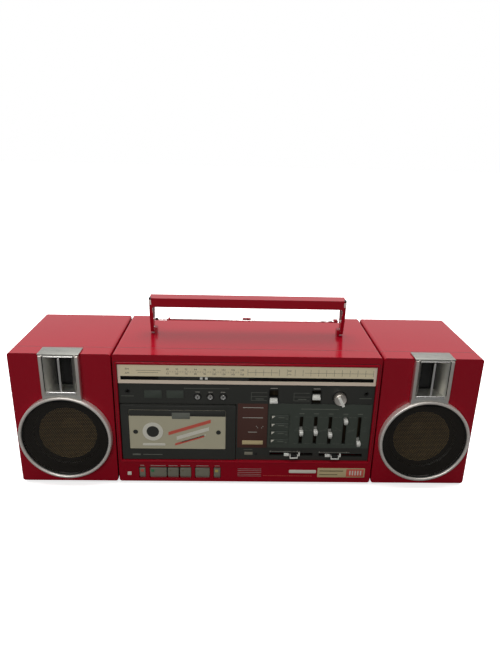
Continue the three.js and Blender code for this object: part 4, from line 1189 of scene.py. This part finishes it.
@dataclass
class CassetteDeck:
    """The door with its window and plain stripes, and the mechanism behind it."""

    clear_top: float = 92.5
    tab_x: Span = (-91.3, -69.3)
    tab_z: Span = (88.8, 97.3)
    pane_front: float = 0.8
    slant: float = 0.34

    def build(self) -> None:
        """Builds the door, then the mechanism."""
        ease("cassette_door", "cassette_door_frame", 0.3, FASCIA_BLACK, "door", 2)
        ease("door_window", "door_window_pane", 0.25, WINDOW, "door", 2)
        front = self.pane_front
        low, high = box_mm("door_window")
        make("window_shade", plate((low[0] + 0.2, high[0] - 0.2), (self.clear_top, high[2] - 0.2),
                                   around(front, 0.1), 0.4, 0.05), FASCIA_BLACK, "door")
        make("window_tab", plate(self.tab_x, self.tab_z, (front - 0.25, front), 0.4, 0.1),
             FAINT_INK, "door")
        self.build_stripes(front - 0.12)
        marks = [((-141.0, -131.0), (37.6, 39.8)), ((-128.0, -104.0), (38.2, 39.2))]
        make("door_print", bars(marks, (0.34, 0.5)), FAINT_INK, "door")
        ridge = rounded_box((-152.0, 0.1, 105.6), (-14.5, 0.9, 106.4), 0.3, 2)
        make("door_top_ridge", ridge, FASCIA_BLACK, "door")
        self.build_mechanism()

    def stripe(self, x: Span, z: float, height: float, front: float) -> Surface:
        """One slanted stripe: a parallelogram with a little thickness."""
        rise = (x[1] - x[0]) * self.slant
        corners = np.array([[x[0], z], [x[1], z + rise], [x[1], z + rise + height],
                            [x[0], z + height]])
        return skin(np.stack([flat_loop(corners, y) for y in (front, front + 0.1)]))

    def build_stripes(self, front: float) -> None:
        """Plain slanted stripes and a disc on the window, a generic decoration."""
        def disc(x: float, z: float, radius: float, segments: int, y: float = front,
                 depth: float = 0.1) -> Surface:
            """A thin flat disc."""
            return turned([(0, 0), (radius, 0), (radius, depth), (0, depth)], (x, y, z),
                          segments=segments)

        red = [((-96.0, -44.0), 66.0, 4.6), ((-88.0, -52.0), 51.6, 3.0)]
        white = [((-86.0, -46.0), 59.4, 5.0), ((-80.0, -50.0), 56.2, 1.3)]
        make("window_red_stripes", [self.stripe(*row, front) for row in red], RED_INK, "door")
        make("window_white_stripes", [self.stripe(*row, front) for row in white], WHITE_INK, "door")
        make("window_white_disc", disc(-115.0, 71.0, 12.6, 56), WHITE_INK, "door")
        make("window_disc_core", disc(-115.0, 71.0, 7.6, 48, front - 0.08, 0.12),
             FASCIA_BLACK, "door")
        base = plate((-128.0, -100.0), (51.2, 54.6), (front, front + 0.1), 1.5, 0.04)
        make("window_base_bar", base, WHITE_INK, "door")
        make("window_dark_dots", [disc(x, 70.5, 3.0, 32) for x in (-136.0, -34.5)],
             FASCIA_BLACK, "door")

    def lathe(self, node: str, name: str, rows: Profile, look: Finish, body: str,
              segments: int) -> None:
        """Stands a turned piece in for a node, from the node's front and on its own axis."""
        low, _, x, z = seat(node)
        make(name, turned(rows, (x, low[1], z), segments=segments), look, body, [node])

    def build_mechanism(self) -> None:
        """Chassis, motor, wheels, spindles and heads behind the door."""
        ease("deck_chassis", "deck_chassis_pressing", 0.15, STEEL, segments=2)
        ease("head_plate", "head_plate_pressing", 0.3, STEEL, "head_plate", 2)
        for node in ("supply_spindle", "takeup_spindle"):
            self.build_spindle(node)
        wheel = [(0, 0), (0.9, 0.1), (1.2, 0.5), (1.2, 20), (3, 20), (3, 20.8), (14, 20.8),
                 (14, 20), (19.4, 20), (20, 20.5), (20, 24.4), (19.4, 25), (1.5, 25), (1.5, 29),
                 (0, 29)]
        self.lathe("flywheel", "flywheel_disc", wheel, BRASS, "flywheel", 72)
        can = [(0, 0), (5, 0), (5, 0.8), (14.8, 0.8), (15.8, 1.8), (16, 2.6), (16, 22.4),
               (15.4, 23.6), (14, 24), (0, 24)]
        self.lathe("deck_motor", "deck_motor_can", can, STEEL, "cabinet", 64)
        pulley = [(0, 0), (4.0, 0), (4.2, 0.3), (4.2, 1.7), (3.4, 3), (3.4, 4), (4.2, 5.2),
                  (4.2, 6.3), (1, 6.5), (1, 8.6), (0, 8.6)]
        self.lathe("motor_pulley", "motor_pulley_turned", pulley, BRASS, "motor_pulley", 48)
        ease("circuit_board", "circuit_board_laminate", 0.15, BOARD, segments=1)
        ease("power_transformer", "power_transformer_core", 0.4, STEEL, segments=2)

    def build_spindle(self, node: str) -> None:
        """A reel spindle: a stepped hub with three crossed fins that grip the reel."""
        hub = [(0, 0), (1.6, 0.2), (2.4, 0.9), (3.4, 3.5), (3.6, 4.1), (3.6, 10.1), (4.4, 10.7),
               (9.9, 11), (10.5, 11.6), (10.5, 14.9), (9.9, 15.5), (1.8, 15.5), (1.8, 20.5),
               (0, 20.5)]
        self.lathe(node, node + "_hub", hub, SOFT_BLACK, node, 48)
        x, _, z = middle(node)
        fin = rounded_box((-4.8, 10.5, -0.55), (4.8, 16.5, 0.55), 0.3, 2)
        fins = [swung(fin, turn, (x, 0, z)) for turn in (0, 60, 120)]
        make(node + "_fins", fins, KNOB_GREY, node)


@dataclass
class Handle:
    """The folding handle with its bright edges, end caps, pivot caps and white bars painted on as
    highlights.
    """

    leg: float = 4.5
    strip_foot: float = 202.0
    pin: tuple[float, float] = (76.8, 178.0)

    def build(self) -> None:
        """Builds the handle, the trims on its two legs with white bars painted on below the end
        caps as highlights, and the caps on its pins.
        """
        ease("handle", "handle_moulding", 0.6, CABINET_RED, "handle")
        low, high = box_mm("handle")
        front, outer, top = low[1], high[0], high[2]
        strips, ends, painted_glints, caps, washers = [], [], [], [], []
        for side in SIDES:
            edge = side * (outer - self.leg)
            a, b = sorted((edge, edge + side * 0.7))
            strips.append(rounded_box((a, front - 0.25, self.strip_foot),
                                      (b, front + 1.2, top - 13.0), 0.2, 2))
            a, b = sorted((side * (outer - 2.6), side * (outer + 0.35)))
            ends.append(rounded_box((a, front - 0.35, top - 1.5), (b, front + 5, top + 0.25),
                                    0.4, 2))
            # A white bar below each end cap: a painted highlight standing for the glint of chrome.
            painted_glints.append(rounded_box((a, front - 0.3, top - 8.6), (b, front + 3, top - 2.2),
                                     0.4, 2))
            cap = [(0, 0.6), (1.6, 0.5), (2.5, 0.1), (2.7, -0.3), (0, -0.3)]
            caps.append(turned([(r, side * d) for r, d in cap], (side * outer, *self.pin),
                               Axis.X, 32))
            washer = [(1.9, -0.12), (3.8, -0.12), (3.8, 0.12), (1.9, 0.12)]
            washers.append(hoop(washer, (side * (outer - self.leg - 0.15), *self.pin), 32, Axis.X))
        make("handle_inner_strips", strips, BRIGHT_SILVER, "handle")
        make("handle_end_caps", ends, SOFT_BLACK, "handle")
        make("handle_end_painted_highlights", painted_glints, KNOB_AND_HIGHLIGHT_WHITE, "handle")
        make("handle_pivot_caps", caps, BRIGHT_SILVER, "handle")
        make("handle_washers", washers, BRIGHT_SILVER)


@dataclass
class Antenna:
    """Telescopic rod lying in the step along the back."""

    centre: tuple[float, float, float] = field(init=False)

    def __post_init__(self) -> None:
        """Takes the rod's line from its mast."""
        self.centre = (0.0, *middle("antenna_mast")[1:])

    def rod(self, body: str, title: str, rows: Profile, segments: int = 32,
            look: Finish | None = None) -> None:
        """Stands a turned length of the rod in for its node."""
        make(f"{body}_{title}", turned(rows, self.centre, Axis.X, segments), look or ANTENNA_CHROME,
             body, [body])

    def build(self) -> None:
        """Builds the pivot, the mast and its fittings, the middle length and the tip."""
        ease("antenna_pivot", "antenna_fork", 0.3, CABINET_RED, "antenna_pivot", 2)
        self.build_mast()
        low, high = (corner[0] for corner in box_mm("antenna_middle"))
        self.rod("antenna_middle", "tube", [
            (0, high), (1.75, high), (1.75, low + 0.3), (1.6, low), (1.25, low), (1.25, high - 5),
            (0, high - 5)], 28)
        low, high = (corner[0] for corner in box_mm("antenna_tip"))
        self.rod("antenna_tip", "rod", [
            (0, high), (0.95, high), (0.95, low + 5.4), (1.3, low + 5.2), (1.3, low + 2),
            (0, low + 2)], look=BRIGHT_SILVER)
        reach = 2.4
        ball = [(reach * math.sin(a), low + reach + reach * math.cos(a))
                for a in np.linspace(0.35, math.pi - 0.02, 14)]
        make("antenna_tip_ball", turned(ball + [(0.0, low + 0.6), (0.0, low + 4.0)], self.centre,
                                        Axis.X, 32), SOFT_BLACK, "antenna_tip")

    def build_mast(self) -> None:
        """The widest length, with its ribbed collar, finger tab and end stop."""
        low, high = box_mm("antenna_mast")
        _, y, z = self.centre
        end, root = low[0], high[0] - 7.0
        self.rod("antenna_mast", "tube", [
            (0, root + 7), (1.3, root + 7), (1.5, root + 6.6), (1.5, root), (2.0, root - 0.2),
            (2.5, root - 1.0), (2.5, root - 8), (2.3, root - 8.4), (2.3, end + 4), (2.5, end + 3.6),
            (2.5, end + 0.4), (2.3, end), (2.0, end), (2.0, root - 13), (0, root - 13)])
        ribs = [[(2.25, at), (2.7, at - 0.2), (2.7, at - 0.8), (2.25, at - 1.0)]
                for at in root - 9.4 - np.arange(0, 6, 1.2)]
        make("antenna_collar", [hoop(rib, self.centre, 32, Axis.X) for rib in ribs], BRIGHT_SILVER,
             "antenna_mast")
        tab = rounded_box((-5.7, y - 1.9, z + 1.7), (6.1, y + 1.9, z + 3.7), 0.7)
        make("antenna_finger_tab", tab, CABINET_RED, "antenna_mast")
        stop = [(2.35, end + 3.2), (3.0, end + 2.9), (3.0, end + 0.9), (2.35, end + 0.6)]
        make("antenna_end_stop", hoop(stop, self.centre, 32, Axis.X), CABINET_RED, "antenna_mast")


@dataclass
class Speaker:
    """One detachable speaker: box, woofer with ring, grille and cone, and horn."""

    side: int
    centre_z: float = 64.0
    half_width: float = 59.6
    ring_room: float = 56.6
    throat: float = 9.4
    horn_shift: float = 1.0
    horn_front: float = -6.0
    x: float = field(init=False)
    name: str = field(init=False)
    body: str = field(init=False)

    def __post_init__(self) -> None:
        """Takes the speaker's name, body and place from its side."""
        self.name = "left" if self.side < 0 else "right"
        self.x = middle(f"{self.name}_speaker_shell")[0]
        self.body = f"{self.name}_speaker"

    def add(self, title: str, shape: Surface | list[Surface], look: Finish, node: str = "",
            body: str = "", sharp_deg: float = 35.0) -> None:
        """Makes one piece of this speaker.

        Args:
            title: the piece's name without the side.
            shape: its surface, or several.
            look: its finish.
            node: the node it stands for, without the side.
            body: what it rides on, where that isn't the box.
            sharp_deg: edges turning by more than this stay crisp.
        """
        make(f"{self.name}_{title}", shape, look, body or self.body,
             [f"{self.name}_{node}"] if node else (), sharp_deg)

    def hoop(self, profile: Profile, segments: int) -> Surface:
        """A ring about the woofer's axis."""
        return hoop(profile, (self.x, 0, self.centre_z), segments)

    def build(self) -> None:
        """Builds the box, the woofer and the horn."""
        for part, title in (("front", "baffle"), ("shell", "box")):
            ease(f"{self.body}_{part}", f"{self.name}_{title}_moulding", 0.8, CABINET_RED,
                 self.body)
        self.add("seam", seam(around(self.x, self.half_width)), SEAM_AND_PAINTED_SHADE_RED)
        self.build_woofer()
        self.build_cone()
        self.build_horn()
        self.build_horn_trims()
        self.build_horn_throat_painted_shade()
        self.build_fixings()

    def build_woofer(self) -> None:
        """The bright ring, its inner ring, a near-black ring of painted shade behind it and the
        perforated grille.
        """
        ring = [(52.5, -0.3), (52.3, -6.0), (52.4, -6.9), (52.9, -7.5), (53.6, -7.85), (54.5, -7.9),
                (55.3, -7.6), (55.9, -7.0), (56.2, -6.0), (56.3, -0.3)]
        self.add("woofer_trim_ring", self.hoop(ring, 120), RING_SILVER, "woofer_ring")
        inner = [(51.0, -4.2), (52.2, -4.2), (52.2, -5.8), (51.8, -6.1), (51.0, -5.6)]
        self.add("woofer_inner_ring", self.hoop(inner, 96), SOFT_BLACK)
        # A near-black ring behind the grille: painted shade darkening the gap between the surround
        # and the ring.
        painted_shade_ring = [(40.9, 2.4), (46.7, -0.6), (52.2, -0.6), (52.2, -1.2), (46.5, -1.2), (40.9, 1.6)]
        self.add("woofer_painted_shade_ring", self.hoop(painted_shade_ring, 96), PAINTED_SHADE_BLACK)
        grille = perforated_disc((self.x, self.centre_z), 52.0, 2.1, 0.78, (-5.1, -4.7), 0.6)
        self.add("grille_mesh", grille, GRILLE_BLACK, "woofer_grille")

    def build_cone(self) -> None:
        """The paper cone with its dust cap and rolled surround, and the basket that holds it."""
        x, z, moving = self.x, self.centre_z, f"{self.name}_woofer_cone"
        look = ConePaper(f"{self.name}_cone_paper", "cone_paper", (0.52, 0.36, 0.16), 0.85,
                         (x * MM, (z + FOOT) * MM))
        t = np.linspace(0, 1, 12)
        dust = [(12.8 * a, 17.5 + 4.6 * a ** 2) for a in t]
        cone = [(13 + 22.5 * a, 22.5 - 15.5 * a ** 0.85) for a in t[1:]]
        behind = [(35.5, 8.2), (12.5, 24), (12.5, 32), (11, 32), (11, 23.5), (0, 18.7)]
        self.add("cone_moulding", turned(dust + cone + behind, (x, 0, z), segments=96), look,
                 "woofer_cone", moving, 50)
        roll = [(38 + 2.6 * math.cos(a), 7.0 - 1.5 * math.sin(a))
                for a in np.linspace(math.pi, 0, 11)]
        under = [(40.5, 7.8), (38.0, 6.7), (35.4, 8.0)]
        self.add("cone_surround", self.hoop(roll + under, 96), SOFT_BLACK, "", moving, 60)
        ease(f"{self.name}_woofer_frame", f"{self.name}_woofer_basket", 0.2, STEEL, self.body, 1)
        gasket = [(41.2, 3.05), (46.6, 3.05), (46.6, 3.25), (41.2, 3.25)]
        self.add("woofer_gasket", self.hoop(gasket, 72), SOFT_BLACK)

    @property
    def horn_x(self) -> float:
        """The horn's middle, a little nearer to the centre unit than the woofer's."""
        return self.x - self.side * self.horn_shift

    def horn_loop(self, half: float, z: Span, y: float, radius: float) -> Array:
        """One rounded loop of the horn, kept clear of the woofer's ring while it is in front.

        Args:
            half: half of its width.
            z: its foot and its top.
            y: its depth.
            radius: its corner radius.

        Returns:
            The points; those in front of the baffle lie outside a circle about the woofer.
        """
        points = flat_loop(rounded_outline(around(self.horn_x, half), z, radius, 4, 12), y)
        if y < 0:
            reach = np.sqrt(np.maximum(self.ring_room ** 2 - (points[:, 0] - self.x) ** 2, 0.0))
            points[:, 2] = np.maximum(points[:, 2], self.centre_z + reach)
        return points

    def build_horn(self) -> None:
        """The horn's casting: a face that the ring bites into, and a tapered mouth."""
        front, throat = self.horn_front, self.throat
        foot, top, deep_z = 115.0, 174.4, (127.8, 168.6)
        rows = [(19.6, (123.0, 172.2), 0.2, 0.5), (23.0, (foot, top), -0.3, 0.6),
                (23.0, (foot, top), front + 0.5, 0.6), (22.6, (foot, top - 0.4), front, 0.5),
                (18.3, (126.0, 171.8), front, 0.5), (18.0, (126.2, 171.5), front + 0.6, 0.5),
                (17.0, (126.4, 171.0), front + 1.6, 0.4), (throat, deep_z, 12.0, 0.4),
                (throat - 0.4, deep_z, 17.6, 0.4), (throat + 0.8, (127.0, 169.4), 18.2, 0.5),
                (18.9, (124.4, 172.0), 2.0, 0.5)]
        casting = skin(np.stack([self.horn_loop(*row) for row in rows]), ring=True)
        self.add("horn_casting", casting, HORN_SILVER, "horn_bezel")

    def build_horn_trims(self) -> None:
        """Top plate, side posts with their caps, dark slits of painted shade in the gaps beside the
        posts, bright lips and the vane.
        """
        x, front = self.horn_x, self.horn_front
        top = rounded_box((x - 23.7, front - 0.4, 173.3), (x + 23.7, 15.9, 174.7), 0.35)
        self.add("horn_top_plate", top, HORN_PLATE)
        posts = []
        for side in SIDES:
            a, b = sorted((x + side * 18.8, x + side * 22.8))
            posts.append(rounded_box((a, front - 1.3, 121.8), (b, front + 0.6, 172.2), 0.6))
            a, b = sorted((x + side * 17.8, x + side * 20.0))
            posts.append(rounded_box((a, front - 1.0, 172.0), (b, front + 1.0, 173.6), 0.4, 2))
        self.add("horn_posts", posts, SATIN_SILVER)
        # Near-black bars in the gaps beside the posts: painted shade.
        painted_shade_slits = [rounded_box((at - 0.35, front - 0.15, 127.0), (at + 0.35, front + 0.8, 171.6),
                             0.15, 1) for at in around(x, 18.5)]
        self.add("horn_painted_shade_slits", painted_shade_slits, PAINTED_SHADE_BLACK)
        lips = [rounded_box((x - 17.6, front - 1.7, 122.6), (x + 17.6, front + 0.4, 127.2), 1.1),
                rounded_box((x - 17.0, front - 0.9, 170.6), (x + 17.0, front + 0.6, 171.9), 0.5)]
        self.add("horn_lips", lips, BRIGHT_SILVER)
        vane = [rounded_box((x - 0.6, front - 0.2, 126.9), (x + 0.6, 12.0, 170.7), 0.6),
                rounded_box((x - 1.3, front - 0.6, 128.0), (x + 1.3, front + 1.0, 169.4), 0.55)]
        self.add("horn_vane", vane, BRIGHT_SILVER)

    def build_horn_throat_painted_shade(self) -> None:
        """A near-black cup in the throat, painted shade for the deep throat, its wall going forward
        outside and back inside.
        """
        # The cup's near-black colour is painted shade, not the horn's own colour.
        outer, inner = self.throat + 0.05, self.throat - 0.6
        painted_shade_cup = [self.horn_loop(outer, (127.75, 168.65), y, 0.4) for y in (17.5, 12.1)]
        painted_shade_cup += [self.horn_loop(inner, (128.2, 168.2), y, 0.4) for y in (12.1, 16.9)]
        self.add("horn_throat_painted_shade", skin(np.stack(painted_shade_cup)), PAINTED_SHADE_BLACK)

    def build_fixings(self) -> None:
        """Rear screws, rubber pads under the feet and a terminal plate."""
        x, back = self.x, box_mm(f"{self.name}_speaker_shell")[1][1]
        self.add("box_screws", screws(around(x, 48), back, (14.0, 160.0)), STEEL)
        self.add("foot_pads", foot_pads(around(x, 44)), RUBBER)
        terminals = plate(around(x, 16), (60, 84), (back - 0.05, back + 0.6), 2, 0.3)
        self.add("terminal_plate", terminals, SOFT_BLACK)


# ------------------------------------------------------------------ studio
@dataclass
class Studio:
    """A pale floor, soft lights and the camera."""

    lens: float = 30.13
    place_m: tuple[float, float, float] = (-0.01692, -0.67065, 0.42624)
    yaw: float = 0.0301
    pitch: float = 0.3523
    roll: float = 0.0255
    air_front: float = 0.12
    air_back: float = 0.75
    floor_dim: float = 0.12
    floor_glow: float = 0.65

    def build(self) -> None:
        """Sets the floor, the world, the lights and the camera."""
        scene = bpy.context.scene
        scene.view_settings.view_transform = "Standard"
        self.build_floor()
        world = bpy.data.worlds.new("studio_air")
        scene.world = world
        self.build_air(world)
        self.sky("overhead_sky", (0.0, 0.32, 1.0), 70.0, 3.3)
        self.softbox("key_softbox", (-0.35, -1.5, 0.9), (0, 0, 0.1), (1.1, 0.6), 9.0)
        self.build_camera()

    def build_air(self, world: bpy.types.World) -> None:
        """White to the camera; dim to the object, with a bright wall behind for its gloss."""
        world.use_nodes = True
        tree = world.node_tree
        new, link = tree.nodes.new, tree.links.new
        backdrop = tree.nodes["Background"]
        backdrop.inputs["Color"].default_value = (1, 1, 1, 1)
        rays, way = new("ShaderNodeLightPath"), new("ShaderNodeTexCoord")
        split, wall = new("ShaderNodeSeparateXYZ"), new("ShaderNodeMapRange")
        link(way.outputs["Generated"], split.inputs[0])
        link(split.outputs["Y"], wall.inputs["Value"])
        wall.interpolation_type = "SMOOTHSTEP"
        for socket, value in (("From Min", -0.2), ("From Max", 0.75), ("To Min", self.air_front),
                              ("To Max", self.air_back)):
            wall.inputs[socket].default_value = value
        pick = new("ShaderNodeMix")
        link(rays.outputs["Is Camera Ray"], pick.inputs[0])
        link(wall.outputs["Result"], pick.inputs[2])
        pick.inputs[3].default_value = 1.0
        link(pick.outputs[0], backdrop.inputs["Strength"])

    def build_floor(self) -> None:
        """A wide plain floor that meets the world's white at its edge."""
        reach, count, level = 6.0, 25, -0.0004
        t = np.linspace(-reach, reach, count)
        gx, gy = np.meshgrid(t, t, indexing="ij")
        points = np.stack([gx, gy, np.full_like(gx, level)], -1).reshape(-1, 3)
        mesh = bpy.data.meshes.new("studio_floor")
        mesh.from_pydata(points.tolist(), [], grid_faces(count, count, False, False).tolist())
        floor = bpy.data.objects.new("studio_floor", mesh)
        bpy.context.scene.collection.objects.link(floor)
        look = Shade("studio_floor")
        rays = look.node("ShaderNodeLightPath").outputs["Is Camera Ray"]
        look.set(Base_Color=look.blend(rays, (self.floor_dim,) * 3, (0.96, 0.96, 0.96)),
                 Emission_Color=look.blend(rays, (0, 0, 0), (1, 1, 1)),
                 Emission_Strength=self.floor_glow, Roughness=0.95, Specular_IOR_Level=0.0)
        mesh.materials.append(look.material)

    def sky(self, name: str, where: Sequence[float], spread_deg: float, strength: float) -> None:
        """Adds a broad distant light that shines from a direction towards the object."""
        lamp = bpy.data.lights.new(name, "SUN")
        lamp.energy, lamp.angle = strength, math.radians(spread_deg)
        holder = bpy.data.objects.new(name, lamp)
        holder.rotation_euler = (-Vector(where)).to_track_quat("-Z", "Y").to_euler()
        bpy.context.scene.collection.objects.link(holder)

    def softbox(self, name: str, where: Sequence[float], target: Sequence[float], size: Span,
                power: float) -> None:
        """Adds a rectangular area light aimed at a point."""
        lamp = bpy.data.lights.new(name, "AREA")
        lamp.shape, lamp.size, lamp.size_y, lamp.energy = "RECTANGLE", size[0], size[1], power
        holder = bpy.data.objects.new(name, lamp)
        holder.location = where
        holder.rotation_euler = (Vector(target) - Vector(where)).to_track_quat("-Z", "Y").to_euler()
        bpy.context.scene.collection.objects.link(holder)

    def build_camera(self) -> None:
        """Aims the camera by its turn to the side, its tilt down and its roll."""
        level = math.cos(self.pitch)
        forward = Vector((math.sin(self.yaw) * level, math.cos(self.yaw) * level,
                          -math.sin(self.pitch)))
        right = Vector((math.cos(self.yaw), -math.sin(self.yaw), 0))
        up = right.cross(forward)
        right, up = (math.cos(self.roll) * right + math.sin(self.roll) * up,
                     -math.sin(self.roll) * right + math.cos(self.roll) * up)
        turn = Matrix((right, up, -forward)).transposed().to_4x4()
        lens = bpy.data.cameras.new("studio_camera")
        lens.lens, lens.sensor_width = self.lens, 36.0
        camera = bpy.data.objects.new("studio_camera", lens)
        camera.matrix_world = Matrix.Translation(self.place_m) @ turn
        bpy.context.scene.collection.objects.link(camera)
        bpy.context.scene.camera = camera


def main() -> None:
    """Builds the studio and every assembly."""
    logging.basicConfig(level=logging.INFO, format="%(message)s")
    Studio().build()
    for assembly in (CentreCabinet(), Dial(), Fascia(), Controls(), CassetteDeck(), Handle(),
                     Antenna(), *(Speaker(side) for side in SIDES)):
        log.info("-- %s", type(assembly).__name__)
        assembly.build()


if __name__ == "__main__":
    main()
